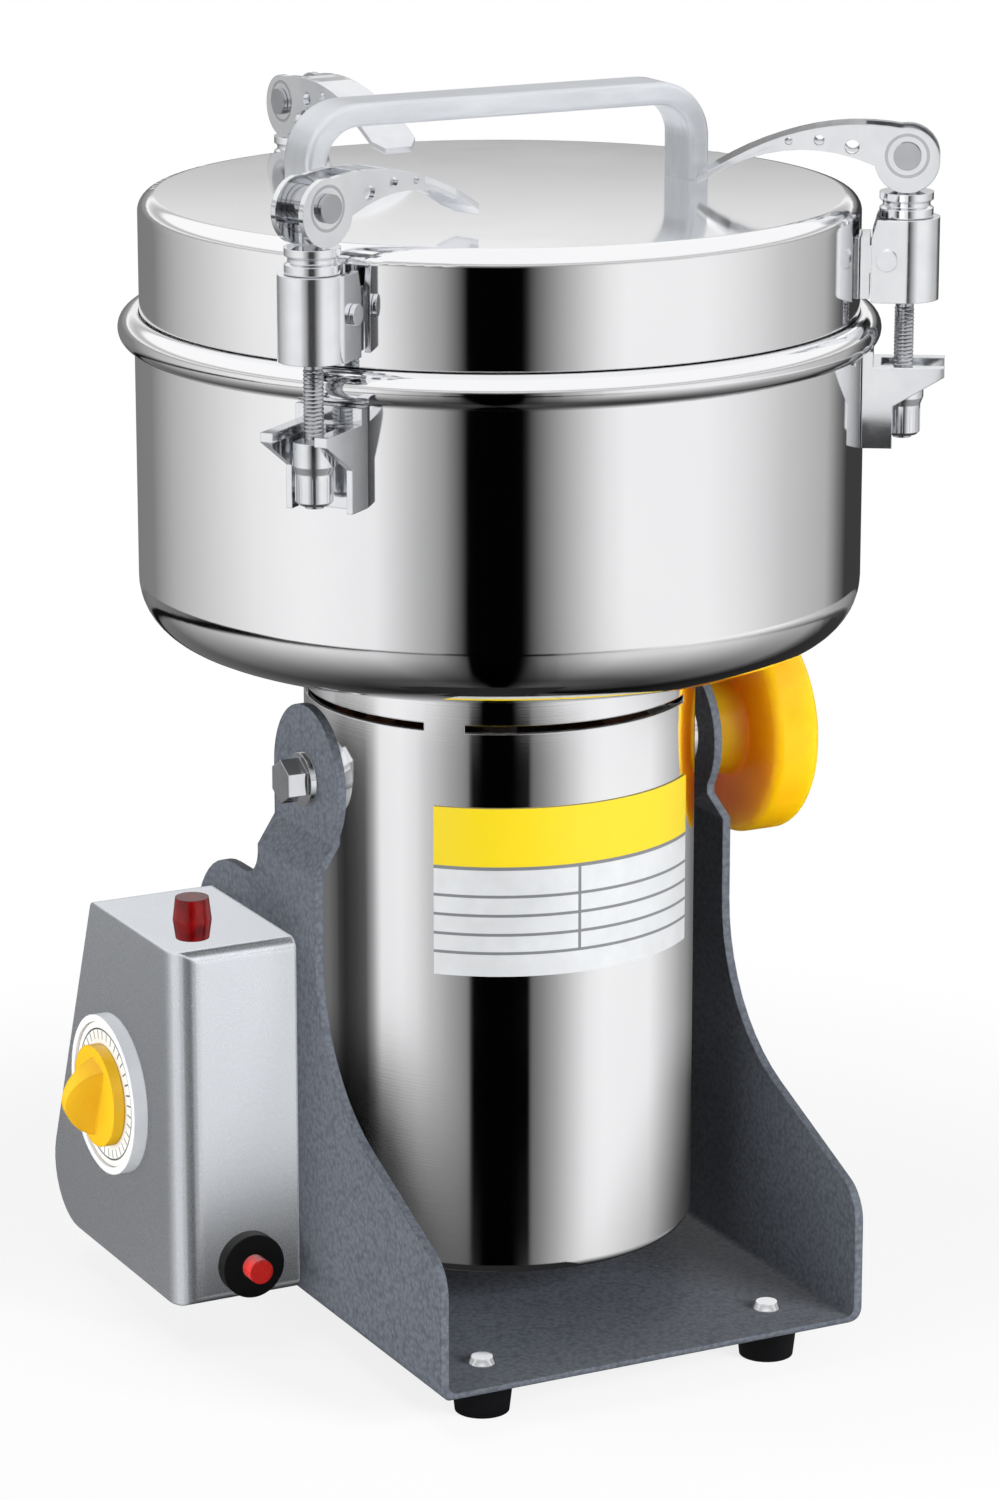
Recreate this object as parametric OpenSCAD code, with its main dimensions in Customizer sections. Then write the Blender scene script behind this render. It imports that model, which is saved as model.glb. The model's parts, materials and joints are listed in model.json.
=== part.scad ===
// Tilting electric grain mill: a motor barrel with a lidded steel bowl, hung in a bent sheet stand
// All sizes in millimetres, +Z up, floor at z = 0, origin at the middle of the floor plan, front towards -Y

/* [Stand] */
// Gap between the motor barrel and the stand's ears
ear_gap = 3.3; // [2.6:0.1:6]
// Thickness of the stand's sheet
sheet_t = 3; // [2:0.5:4]
// Reach of the base in front of the motor axis
base_front = 112; // [104:1:130]
// Reach of the base behind the motor axis
base_rear = 97; // [90:1:115]
// Outside radius of the bends between base and sides
bend_r = 6; // [5:0.5:9]
// Height of the front lobes above the base's underside
lobe_h = 45; // [38:1:52]
// Corner radius of the front lobes
lobe_r = 14; // [6:1:18]
// Slope of the lobe's top edge in degrees
lobe_slope = 23; // [18:1:27]
// Radius of the front sweep between lobe and neck
sweep_r = 60; // [40:1:64]
// Reach of the neck in front of the tilt axis
neck_front = 20; // [15:0.5:22]
// Reach of the neck behind the tilt axis
neck_rear = 25; // [21:0.5:28]
// Height of the rear shoulder above the base's underside
shoulder_h = 140; // [130:1:144]
// Corner radius of the rear shoulder
shoulder_r = 32; // [15:1:36]
// Radius of the hollow between neck and shoulder
shoulder_fillet = 10; // [4:1:11]
// Lean of the rear edge in degrees
rear_slope = 10; // [6:1:12]
// Height of the tilt axis above the floor
pivot_z = 193; // [193:0.5:200]
// Radius of the ears round the tilt axis
ear_r = 25; // [24:0.5:27.5]
// Inward set of the ears from the side plates
ear_set = 6.4; // [5:0.1:6.6]
// Height of the bend that sets each ear inward
joggle_h = 10; // [8:1:12]
// Distance of that bend below the tilt axis
joggle_drop = 28; // [27:0.5:30]

/* [Feet] */
// Height of a rubber foot
foot_h = 13; // [9:0.5:16]
// Diameter of a foot under the base
foot_d = 21; // [18:0.5:26]
// Diameter of a foot on the floor
foot_tip_d = 18; // [14:0.5:20]
// Distance of the feet in from the sides
foot_inset = 25; // [20:1:34]
// Distance of the feet in from the front and rear
foot_end_inset = 20; // [16:1:30]
// Diameter of the foot screw
foot_screw_d = 5; // [4:0.5:6]
// Diameter of the foot screw's head
foot_head_d = 9; // [8:0.5:12]
// Height of the foot screw's head
foot_head_h = 2.4; // [1.5:0.1:3.5]
// Depth of the foot screw in the rubber
foot_screw_depth = 7; // [4:0.5:8]

/* [Tilt joint] */
// Diameter of the tilt bolt and of the lock stud
pivot_d = 8; // [6:0.5:9]
// Hexagon of the tilt bolt across its flats
pivot_flats = 13; // [11:0.5:15]
// Height of the tilt bolt's head
pivot_head_h = 7; // [5:0.5:9]
// Diameter of the washers
washer_d = 18; // [16:0.5:22]
// Thickness of the washers
washer_t = 2; // [1.5:0.1:3]
// Diameter of the bosses welded to the barrel
boss_d = 28; // [24:1:40]
// Diameter of the part of a boss that goes through the barrel
boss_spigot_d = 18; // [15:0.5:22]
// Length of that part inside the barrel
boss_spigot_l = 9; // [6:0.5:10]
// Diameter of the lock knob
knob_d = 76; // [60:1:80]
// Thickness of the lock knob's rim
knob_t = 17; // [12:1:22]
// Diameter of the lock knob's hub
knob_hub_d = 36; // [26:1:40]
// Length of the hub between washer and rim
knob_hub_l = 12; // [8:1:18]
// Depth of the lock stud in the knob
stud_depth = 16; // [10:1:18]

/* [Motor] */
// Outside radius of the motor barrel
barrel_r = 65.7; // [60:0.1:74]
// Wall of the motor barrel
barrel_wall = 1.5; // [1:0.1:2]
// Room over the base when the barrel's lower edge swings past it
tilt_gap = 3; // [2:0.1:14]
// Corner radius of the barrel's underside
barrel_fillet = 3; // [2:0.5:12]
// Distance of the cooling slots below the bowl
vent_drop = 20; // [16:0.5:22]
// Height of the cooling slots
vent_h = 2.6; // [2:0.1:4]
// Width of the bridges between cooling slots in degrees
vent_bridge = 12; // [8:1:20]
// Thickness of the end plates
end_plate_t = 10; // [8:0.5:12]
// Distance of the lower end plate above the barrel's underside
lower_plate_lift = 26; // [22:0.5:30]
// Outside diameter of the bearings
bearing_d = 28; // [26:0.5:30]
// Width of the bearings
bearing_w = 8; // [7:0.5:8]
// Diameter of the motor shaft
shaft_d = 12; // [10:0.5:13]
// Length of the stator stack
stator_h = 52; // [40:1:54]
// Bore of the stator
stator_bore_d = 64; // [58:0.5:70]
// Distance of the stator above the lower end plate
stator_lift = 42; // [40:1:44]
// Length of the winding heads at each end of the stator
coil_h = 12; // [8:1:13]
// Air gap between stator and rotor
air_gap = 0.6; // [0.4:0.1:1]
// Diameter of the commutator
commutator_d = 34; // [30:1:40]
// Length of the commutator
commutator_h = 20; // [16:1:22]
// Width of a carbon brush
brush_w = 8; // [6:0.5:10]
// Diameter of the cooling fan
fan_d = 104; // [90:1:108]
// Height of the cooling fan
fan_h = 14; // [10:1:15]

/* [Label] */
// Height of the label plate
label_h = 57; // [50:1:64]
// Angle that the label plate spans in degrees
label_span = 88; // [70:1:100]
// Direction of the label's middle in degrees
label_angle = -92; // [-110:1:-70]
// Distance of the label's top below the tilt axis
label_drop = 1; // [0:0.5:8]
// Thickness of the label plate
label_t = 0.5; // [0.4:0.1:0.8]

/* [Bowl] */
// Outside radius of the bowl
bowl_r = 120; // [116:0.5:124]
// Wall of the bowl and the lid
bowl_wall = 1.5; // [1:0.1:2.5]
// Distance from the tilt axis up to the bowl's underside
bowl_lift = 44; // [42:0.5:50]
// Corner radius of the bowl's underside
bowl_fillet = 20; // [12:1:26]
// Height of the bowl from its underside to the middle of its rim
bowl_h = 103; // [98:1:120]
// Radius of the rolled rim
rim_r = 5.5; // [4.5:0.5:6.5]
// Diameter of the hole in the bowl's floor
floor_hole_d = 30; // [27:0.5:34]
// Diameter of the bowl's fixing screws
bowl_screw_d = 6; // [5:0.5:7]
// Diameter of the circle of the fixing screws
bowl_screw_ring_d = 90; // [80:1:100]
// Height of the fixing screws' heads
bowl_screw_head = 3; // [2:0.5:4]

/* [Blades] */
// Length of the lower blade
blade_low_l = 196; // [160:1:204]
// Length of the upper blade
blade_top_l = 176; // [140:1:204]
// Width of a blade
blade_w = 26; // [20:1:32]
// Thickness of a blade
blade_t = 3; // [2:0.5:4]
// Diameter of the blades' hubs
blade_hub_d = 30; // [26:1:36]
// Distance of the lower blade above the bowl's floor
blade_lift = 12; // [10:1:16]
// Distance between the two blades
blade_gap = 22; // [14:1:30]
// Hexagon of the blade nut across its flats
blade_nut_flats = 19; // [17:0.5:24]
// Height of the blade nut
blade_nut_h = 10; // [8:1:14]

/* [Lid] */
// Step of the lid's wall inside the bowl's wall
lid_inset = 1.6; // [0.5:0.1:3]
// Height of the lid above the rim
lid_h = 38; // [36:0.5:44]
// Corner radius of the lid's top edge
lid_fillet = 5.5; // [3:0.5:7]
// Depth of the lid's skirt inside the bowl
skirt_h = 14; // [10:1:20]
// Thickness of the sealing ring
gasket_t = 2; // [1.5:0.1:3]
// Height of the sealing ring
gasket_h = 5; // [3:0.5:7]
// Length of the handle
handle_l = 147; // [120:1:160]
// Height of the handle above the lid
handle_h = 33; // [28:1:40]
// Width of the handle's bar
handle_w = 19; // [14:0.5:24]
// Thickness of the handle's bar
handle_t = 7.5; // [6:0.5:9]
// Outside radius of the handle's bends
handle_bend = 19; // [14:1:24]
// Rounding of the handle's long edges
handle_edge = 2; // [1:0.5:3]
// Diameter of the handle screws
handle_screw_d = 5; // [4:0.5:5.5]

/* [Latches] */
// Directions of the three latches in degrees
latch_angles = [217.5, 328, 94.6];
// Turn of each lever from the inward direction in degrees
lever_turns = [-18, 0, 0];
// Gap between the adjusting nuts and the rim as the lid is lifted
nut_rim_gap = 0.5; // [0.4:0.1:3]
// Width of a latch housing
housing_w = 22; // [20:0.5:24]
// Height of a latch housing
housing_h = 27; // [24:1:28]
// Height of the bevel on a housing's upper rear corners
housing_bevel_h = 6; // [4:0.5:8]
// Width of that bevel
housing_bevel_w = 2; // [1.5:0.1:3]
// Height of the housings above the middle of the rim
housing_lift = 10; // [8:0.5:11]
// Wall of a latch housing
housing_wall = 2; // [1.5:0.1:2.5]
// Diameter of the latch bolts
bolt_d = 6; // [5:0.5:7]
// Diameter of the hinge rivets
rivet_d = 4; // [3:0.5:5]
// Diameter of the hinge rivets' heads
rivet_head_d = 7; // [6:0.5:8]
// Height of the hinge rivets' heads
rivet_head_h = 1.5; // [1:0.1:2]
// Distance of the hinge rivets inward of the bolts
hinge_back = 6; // [5:0.5:7]
// Height of the hinge rivets above the housing's underside
hinge_lift = 14; // [12:0.5:15]
// Diameter of the collars under the levers
collar_d = 17.6; // [14:0.2:18]
// Height of the collars under the levers
collar_h = 8; // [6:0.5:10]
// Radius of the levers' cams
cam_r = 10.6; // [9:0.2:11]
// Offset of the cam's middle from its pin
cam_throw = 1.5; // [1:0.1:2]
// Diameter of the cam pins
cam_pin_d = 5; // [4:0.5:6]
// Diameter of the cam pins' heads
cam_head_d = 9; // [7:0.5:10]
// Length of the levers from the cam pin
lever_l = 68; // [56:1:70]
// Width of the levers
lever_w = 14; // [13:0.5:16]
// Width of the levers' tips
tip_w = 17; // [14:0.5:18]
// Thickness of the levers' sheet
lever_t = 2; // [1.5:0.1:2.5]
// Diameter of the adjusting nuts
nut_d = 13.6; // [12:0.2:15]
// Height of the adjusting nuts
nut_h = 20; // [16:1:24]
// Distance of the catch forks below the middle of the rim
fork_drop = 11; // [9:0.5:14]
// Reach of the catch forks beyond the bolts
fork_reach = 13.5; // [9:0.5:14]
// Thickness of the catch forks
fork_t = 3; // [2:0.5:4]
// Width of a catch
catch_w = 23; // [21.5:0.5:26]
// Height of a catch's plate
catch_h = 32; // [26:1:36]
// Height of the slope under a fork's side flanges
fork_slope_h = 10; // [6:0.5:14]
// Set-back of the side flanges from the bolts
flange_back = 3.2; // [2:0.2:6]
// Height of a bracket on the lid
bracket_h = 20; // [16:1:22]
// Thickness of the plates on bowl and lid
bracket_t = 3; // [2:0.5:3]
// Thickness of the hinge lugs
lug_t = 1.5; // [1:0.1:2]
// Wall of the hinge lugs round the rivets
lug_wall = 2.5; // [2:0.1:3]
// Distance between nut and fork
nut_drop = 1; // [0.5:0.1:2]

/* [Control box] */
// Width of the box, out from the stand
box_w = 44; // [36:1:50]
// Reach of the box in front of the tilt axis
box_front = 5; // [4:1:14]
// Height of the box
box_h = 124; // [118:1:128]
// Reach of the box behind the tilt axis at its top
box_rear_top = 66; // [62:1:74]
// Reach of the box behind the tilt axis at its foot
box_rear_foot = 113; // [106:1:118]
// Wall of the box
box_wall = 1.5; // [1:0.1:2]
// Radius of the box's front outer edge
box_edge_r = 9; // [4:0.5:12]
// Corner radius at the foot of the box's rear
box_foot_r = 20; // [10:1:24]
// Corner radius of the box's other corners
box_corner_r = 4; // [2:0.5:6]
// Width of the flange that fixes the box
box_flange = 9; // [8:0.5:12]
// Distance of the upper fixings below the box's top
box_upper_lug = 24; // [16:1:40]
// Diameter of the box's screws
box_screw_d = 4; // [3:0.5:5]

/* [Controls] */
// Reach of the timer behind the tilt axis
timer_y = 47; // [42:1:52]
// Height of the timer above the box's foot
timer_lift = 61; // [56:1:72]
// Diameter of the timer's dial
dial_d = 50; // [42:1:52]
// Thickness of the dial
dial_t = 4; // [2:0.5:5]
// Width of the bezel round the dial
bezel_w = 2.5; // [2:0.5:5]
// Thickness of the bezel
bezel_t = 5; // [4.5:0.5:7]
// Diameter of the timer knob
timer_knob_d = 35; // [30:1:38]
// Thickness of the timer knob's disc
timer_knob_t = 4; // [3:0.5:6]
// Height of the timer knob's wing
wing_h = 11; // [8:1:14]
// Width of the timer knob's wing
wing_w = 10; // [8:0.5:13]
// Radius of the wing's round edge
wing_r = 13.5; // [12:0.5:15]
// Lean of the wing from upright in degrees
wing_turn = 20; // [0:1:45]
// Diameter of the timer's shaft
timer_shaft_d = 6; // [5:0.5:7]
// Size of the timer's case
timer_case = 40; // [34:1:46]
// Depth of the timer's case
timer_depth = 30; // [24:1:34]
// Distance of the lamp in from the box's outer face
lamp_inset = 14; // [11:0.5:20]
// Reach of the lamp behind the tilt axis
lamp_y = 12; // [8:1:20]
// Diameter of the lamp
lamp_d = 13; // [10:0.5:16]
// Height of the lamp
lamp_h = 14; // [10:1:18]
// Diameter of the lamp's stem in the box
lamp_stem_d = 8; // [6:0.5:9]
// Length of the lamp's stem in the box
lamp_stem_l = 18; // [12:1:24]
// Distance of the overload reset out from the stand
reset_reach = 19; // [16:0.5:24]
// Height of the overload reset above the box's foot
reset_lift = 13; // [12.5:0.5:24]
// Diameter of the overload reset's ring
reset_d = 22; // [18:0.5:24]
// Thickness of the overload reset's ring
reset_t = 5; // [3:0.5:7]
// Diameter of the overload reset's stem in the box
reset_stem_d = 12; // [10.5:0.5:14]
// Length of the overload reset's stem in the box
reset_stem_l = 22; // [16:1:28]
// Diameter of the reset button
button_d = 8.4; // [7:0.2:10]
// Height of the reset button above its ring
button_h = 6; // [4:0.5:8]
// Travel of the reset button
button_travel = 3; // [1.5:0.5:3.5]
// Bore of the cord gland
gland_bore_d = 8; // [6:0.5:10]
// Outside diameter of the cord gland
gland_d = 18; // [16:0.5:22]
// Length of the cord gland outside the box
gland_l = 12; // [8:1:16]
// Height of the cord gland above the box's foot
gland_lift = 62; // [54:1:72]

/* [Clearances] */
// Radial clearance of pins and shafts in their bores
run_clear = 0.05; // [0.02:0.01:0.09]
// Gap between flat faces that slide on each other
face_clear = 0.15; // [0.1:0.05:0.3]
// Gap between curved faces of neighbouring pieces
seat_clear = 0.2; // [0.1:0.05:0.3]
// Gap between the lid and the bowl
lid_clear = 0.3; // [0.2:0.05:0.5]
// Gap between a catch fork and the nut that passes it
fork_clear = 0.4; // [0.3:0.1:0.6]
// Depth by which joined shapes of one piece run into each other
weld = 1; // [0.5:0.1:1.5]

/* [Hidden] */
$fn = 72;
arc_steps = 10;
wall_fn = 360;
head_taper = 0.8;
head_ratio = 1.8;
wing_crown = 0.4;
lamp_flare = 0.86;
lamp_belt = 0.45;
shaft_gap = 2;
gland_wall = 2;
vent_start = -133;
bearing_lift = 1;
coil_out_gap = 8;
coil_in_gap = 4;
shaft_step = 1;
fan_sheet = 2;
fan_hub_wall = 6;
fan_blades = 12;
blade_tip_ratio = 0.55;
blade_sweep_ratio = 0.6;
eye_ratio = 0.6;
nut_waist = 0.86;
nut_step = [0.5, 0.62];
collar_neck = 0.44;
collar_steps = [0.35, 0.45, 0.6, 0.7];

ear_in = barrel_r + ear_gap;
ear_x = ear_in + sheet_t;
half_w = ear_x + ear_set;
base_top = foot_h + sheet_t;
joggle_z = pivot_z - joggle_drop;
ear_bottom = joggle_z + joggle_h;
neck_run = base_front - neck_front;
sweep_corner_z = foot_h + lobe_h + neck_run * tan(lobe_slope);
shoulder_y = base_rear - shoulder_h * tan(rear_slope);

foot_x = half_w - foot_inset;
foot_front_y = -base_front + foot_end_inset;
foot_rear_y = base_rear - foot_end_inset;
foot_places = [
  [-foot_x, foot_front_y], [foot_x, foot_front_y],
  [-foot_x, foot_rear_y], [foot_x, foot_rear_y]
];

bowl_z = pivot_z + bowl_lift;
barrel_swing = pivot_z - base_top - tilt_gap - barrel_fillet;
barrel_z = pivot_z - barrel_fillet - sqrt(pow(barrel_swing, 2) - pow(barrel_r - barrel_fillet, 2));
rim_z = bowl_z + bowl_h;
rim_top = rim_z + rim_r;
lid_z = rim_top + lid_clear;
lid_top = rim_top + lid_h;
bowl_in = bowl_r - bowl_wall;
lid_r = bowl_r - lid_inset;
lid_in = lid_r - bowl_wall;
skirt_r = bowl_in - gasket_t - seat_clear - lid_clear;
barrel_in = barrel_r - barrel_wall;
floor_top = bowl_z + bowl_wall;

vent_z = bowl_z - vent_drop;
upper_plate_z = bowl_z - end_plate_t;
lower_plate_z = barrel_z + lower_plate_lift;
plate_r = barrel_in - seat_clear;
stator_z = lower_plate_z + end_plate_t + stator_lift;
stator_top = stator_z + stator_h;
rotor_r = stator_bore_d / 2 - air_gap;
fan_z = lower_plate_z - fan_h - weld;
commutator_z = lower_plate_z + end_plate_t + (stator_lift - coil_h - commutator_h) / 2;
brush_z = commutator_z + commutator_h / 2;
brush_post_d = brush_w * 1.5;
brush_post_rho = commutator_d / 2 + 3 * brush_w + weld;
shaft_low = fan_z - weld;
seal_r = floor_hole_d / 2 - seat_clear;

blade_low_z = floor_top + blade_lift;
blade_top_z = blade_low_z + blade_t + blade_gap;
blade_nut_z = blade_top_z + blade_t;
shaft_top = blade_nut_z + blade_nut_h + weld;
blade_seat_d = shaft_d - 2 * shaft_step;
shaft_shoulder_z = blade_low_z;
handle_screw_x = [handle_t / 2 - handle_l / 2, handle_l / 2 - handle_t / 2];

boss_face = ear_in - face_clear;
washer_x = ear_x + face_clear;
bolt_head_x = washer_x + washer_t;
knob_x = washer_x + washer_t + face_clear;
knob_rim_x = knob_x + knob_hub_l;
knob_out_x = knob_rim_x + knob_t;
spigot_x = barrel_in - boss_spigot_l;
stud_tip_x = spigot_x + 2 * weld;

latch_reach = rim_r + nut_d / 2 + nut_rim_gap;
bolt_rho = bowl_r + latch_reach;
lid_reach = bolt_rho - lid_r;
housing_top = housing_lift + housing_h;
hinge_z = housing_lift + hinge_lift;
collar_z = housing_top + face_clear;
collar_top = collar_z + collar_h;
cam_pin_z = collar_top + face_clear * 2 + cam_r + cam_throw;
bracket_face = bracket_t - lid_reach;
catch_face = bracket_t - latch_reach;
cheek_out = housing_w / 2 - housing_wall - face_clear;
cheek_in = cheek_out - lug_t;
lug_r = rivet_d / 2 + lug_wall;
guide_r = bolt_d / 2 + housing_wall;
housing_back = -housing_w / 2;
fork_z = -fork_drop - fork_t;
nut_top = fork_z - nut_drop;
nut_z = nut_top - nut_h;
bolt_end = nut_z - weld;
slot_half = nut_d / 2 + fork_clear;
catch_top = -rim_r - 2 * seat_clear;
catch_z = catch_top - catch_h;

box_x = -half_w - box_w;
box_z = base_top;
box_top = box_z + box_h;
box_lean = atan((box_rear_foot - box_rear_top) / box_h);
timer_z = box_z + timer_lift;
dial_x = box_x - dial_t;
lamp_x = box_x + lamp_inset;
reset_x = -half_w - reset_reach;
reset_z = box_z + reset_lift;
button_seat_r = button_d / 2 + run_clear;
gland_y = box_rear_at(box_z + gland_lift);
gland_z = box_z + gland_lift;
gland_x = -half_w - box_w / 2;
lug_low = box_z + box_flange;
lug_high = box_top - box_upper_lug;
box_screw_places = [
  [box_flange - box_front, lug_low], [box_flange - box_front, lug_high],
  [box_rear_at(lug_low) - box_foot_r - box_flange, lug_low], [box_rear_at(lug_high) - box_flange, lug_high]
];

// Curves of a lever's upper and lower edge, in parts of its length
arm_top = [0.126, 0.19, -0.434];
arm_low = [-0.132, 0.637, -0.65];
arm_end = 0.84;
web_start = 0.2;
flare_start = 0.62;
flare_end = 0.8;
tip_corner = 0.05;
// Holes of a lever: distance, height and radius in parts of its length
lever_holes = [[0.263, 0.04, 0.035], [0.42, 0.07, 0.025], [0.565, 0.064, 0.018]];
axis_x = 5.7;
axis_y = -10.6;

function box_rear_at(z) = box_rear_foot - (z - box_z) * tan(box_lean);

// Outline helpers: a path whose corners are rounded by the given radii
function unit(v) = v / norm(v);
function turn_of(v) = atan2(v[1], v[0]);
function short_turn(a) = a > 180 ? a - 360 : (a < -180 ? a + 360 : a);
function corner_arc(p, u, v, r) =
  let (half = acos(u * v) / 2)
  let (mid = p + unit(u + v) * r / sin(half))
  let (a0 = turn_of(p + u * r / tan(half) - mid))
  let (sweep = short_turn(turn_of(p + v * r / tan(half) - mid) - a0))
  [for (k = [0:arc_steps]) mid + r * [cos(a0 + sweep * k / arc_steps), sin(a0 + sweep * k / arc_steps)]];
function rounded(pts, radii) =
  let (n = len(pts))
  [for (i = [0:n - 1])
    let (u = unit(pts[(i + n - 1) % n] - pts[i]))
    let (v = unit(pts[(i + 1) % n] - pts[i]))
    each radii[i] > 0 ? corner_arc(pts[i], u, v, radii[i]) : [pts[i]]];

// Everything is drawn about the motor axis and then set off from the origin
module at_axis() {
  translate([axis_x, axis_y, 0]) children();
}

// An outline in Y and Z, drawn out along X
module along_x(x0, x1) {
  translate([x0, 0, 0]) rotate([90, 0, 90]) linear_extrude(x1 - x0) children();
}

// An outline in X and Z, drawn out along Y
module along_y(y0, y1) {
  translate([0, y1, 0]) rotate([90, 0, 0]) linear_extrude(y1 - y0) children();
}

module rod_x(x0, x1, r, y, z) {
  translate([x0, y, z]) rotate([0, 90, 0]) cylinder(h = x1 - x0, r = r);
}

module rod_y(y0, y1, r, x, z) {
  translate([x, y1, z]) rotate([90, 0, 0]) cylinder(h = y1 - y0, r = r);
}

module ring(r_out, r_in, z, h) {
  difference() {
    translate([0, 0, z]) cylinder(h = h, r = r_out);
    translate([0, 0, z - weld]) cylinder(h = h + 2 * weld, r = r_in);
  }
}

module both_sides() {
  children();
  mirror([1, 0, 0]) children();
}

// Half section of a cup with a rounded bottom edge
module cup_half(r, z0, z1, fillet) {
  translate([0, z0 + fillet]) square([r, z1 - z0 - fillet]);
  translate([0, z0]) square([r - fillet, fillet]);
  translate([r - fillet, z0 + fillet]) circle(fillet);
}

// Half section of a cap with a rounded top edge
module cap_half(r, z0, z1, fillet) {
  translate([0, z0]) square([r, z1 - z0 - fillet]);
  translate([0, z1 - fillet]) square([r - fillet, fillet]);
  translate([r - fillet, z1 - fillet]) circle(fillet);
}

// Stand
module side_outline() {
  corner = 3;
  polygon(rounded([
    [-base_front, foot_h], [-base_front, foot_h + lobe_h], [-neck_front, sweep_corner_z],
    [-neck_front, joggle_z], [neck_rear, joggle_z], [neck_rear, foot_h + shoulder_h],
    [shoulder_y, foot_h + shoulder_h], [base_rear, foot_h]
  ], [corner, lobe_r, sweep_r, 0, 0, shoulder_fillet, shoulder_r, corner]));
}

module channel_section() {
  difference() {
    polygon(rounded([[-half_w, joggle_z], [-half_w, foot_h], [half_w, foot_h], [half_w, joggle_z]],
      [0, bend_r, bend_r, 0]));
    polygon(rounded([
      [sheet_t - half_w, joggle_z + weld], [sheet_t - half_w, base_top],
      [half_w - sheet_t, base_top], [half_w - sheet_t, joggle_z + weld]
    ], [0, bend_r - sheet_t, bend_r - sheet_t, 0]));
  }
}

module ear() {
  in_low = half_w - sheet_t;
  along_y(-neck_front, neck_rear) polygon([
    [in_low, joggle_z - weld], [half_w, joggle_z - weld], [half_w, joggle_z], [ear_x, ear_bottom],
    [ear_x, ear_bottom + weld], [ear_in, ear_bottom + weld], [ear_in, ear_bottom], [in_low, joggle_z]
  ]);
  along_x(ear_in, ear_x) translate([-neck_front, ear_bottom])
    square([neck_front + neck_rear, pivot_z - ear_bottom]);
  rod_x(ear_in, ear_x, ear_r, 0, pivot_z);
}

module stand_frame() {
  color("slategray") at_axis() difference() {
    union() {
      intersection() {
        along_y(-base_front, base_rear) channel_section();
        along_x(-half_w, half_w) side_outline();
      }
      both_sides() ear();
    }
    rod_x(-half_w, half_w, pivot_d / 2 + run_clear, 0, pivot_z);
    for (p = foot_places)
      translate([p[0], p[1], 0]) cylinder(h = base_top + weld, d = foot_screw_d + 2 * run_clear);
    for (p = box_screw_places)
      rod_x(-half_w - weld, weld - half_w + sheet_t, box_screw_d / 2 + run_clear, p[0], p[1]);
  }
}

module feet() {
  color("#1c1c1e") at_axis() for (p = foot_places) translate([p[0], p[1], 0]) difference() {
    cylinder(h = foot_h, d1 = foot_tip_d, d2 = foot_d);
    translate([0, 0, foot_h - foot_screw_depth])
      cylinder(h = foot_screw_depth + weld, d = foot_screw_d + 2 * run_clear);
  }
}

module foot_screws() {
  color("silver") at_axis() for (p = foot_places) translate([p[0], p[1], 0]) {
    translate([0, 0, foot_h - foot_screw_depth]) cylinder(h = foot_screw_depth + sheet_t, d = foot_screw_d);
    translate([0, 0, base_top]) cylinder(h = foot_head_h, d1 = foot_head_d, d2 = foot_head_d * head_taper);
  }
}

// Control box on the stand's left side
module box_outline(inset) {
  lean_in = inset / cos(box_lean);
  foot = box_z + inset;
  top = box_top - inset;
  polygon(rounded([[inset - box_front, foot], [inset - box_front, top], [box_rear_at(top) - lean_in, top],
    [box_rear_at(foot) - lean_in, foot]],
    [box_corner_r - inset, box_corner_r - inset, box_corner_r - inset, box_foot_r - inset]));
}

module box_plan(inset, x_end) {
  polygon(rounded([
    [x_end, inset - box_front], [x_end, box_rear_foot + weld],
    [box_x + inset, box_rear_foot + weld], [box_x + inset, inset - box_front]
  ], [0, 0, 0, box_edge_r - inset]));
}

module box_block(inset, x_end) {
  intersection() {
    along_x(box_x, x_end) box_outline(inset);
    linear_extrude(box_top + weld) box_plan(inset, x_end);
  }
}

module control_box() {
  color("#b9bec4") at_axis() difference() {
    union() {
      difference() {
        box_block(0, -half_w);
        box_block(box_wall, weld - half_w);
      }
      intersection() {
        box_block(0, -half_w);
        for (p = box_screw_places) rod_x(-half_w - box_wall * 2, -half_w, box_flange, p[0], p[1]);
      }
    }
    for (p = box_screw_places)
      rod_x(-half_w - box_wall * 2 - weld, weld - half_w, box_screw_d / 2, p[0], p[1]);
    rod_x(box_x - weld, box_x + box_wall + weld, timer_shaft_d / 2 + shaft_gap, timer_y, timer_z);
    translate([lamp_x, lamp_y, box_top - box_wall - weld])
      cylinder(h = box_wall + 2 * weld, d = lamp_stem_d + 2 * seat_clear);
    rod_y(-box_front - weld, box_wall + weld - box_front, reset_stem_d / 2 + seat_clear, reset_x, reset_z);
    gland_place() translate([0, 0, -box_wall - weld])
      cylinder(h = box_wall + 2 * weld, d = gland_bore_d + 2 * gland_wall + 2 * seat_clear);
  }
}

module box_screws() {
  head = box_screw_d * head_ratio;
  color("silver") at_axis() for (p = box_screw_places) {
    rod_x(-half_w - box_wall * 2, sheet_t - half_w, box_screw_d / 2 - run_clear, p[0], p[1]);
    rod_x(sheet_t - half_w, sheet_t - half_w + box_screw_d / 2, head / 2, p[0], p[1]);
  }
}

module timer_body() {
  color("ivory") at_axis() {
    translate([box_x + box_wall, timer_y - timer_case / 2, timer_z - timer_case / 2])
      cube([timer_depth, timer_case, timer_case]);
    rod_x(dial_x - timer_knob_t, box_x + box_wall, timer_shaft_d / 2, timer_y, timer_z);
  }
}

module timer_dial() {
  color("white") at_axis() difference() {
    rod_x(dial_x, box_x, dial_d / 2 - seat_clear, timer_y, timer_z);
    rod_x(dial_x - weld, box_x + weld, timer_shaft_d / 2 + seat_clear, timer_y, timer_z);
  }
}

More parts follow.
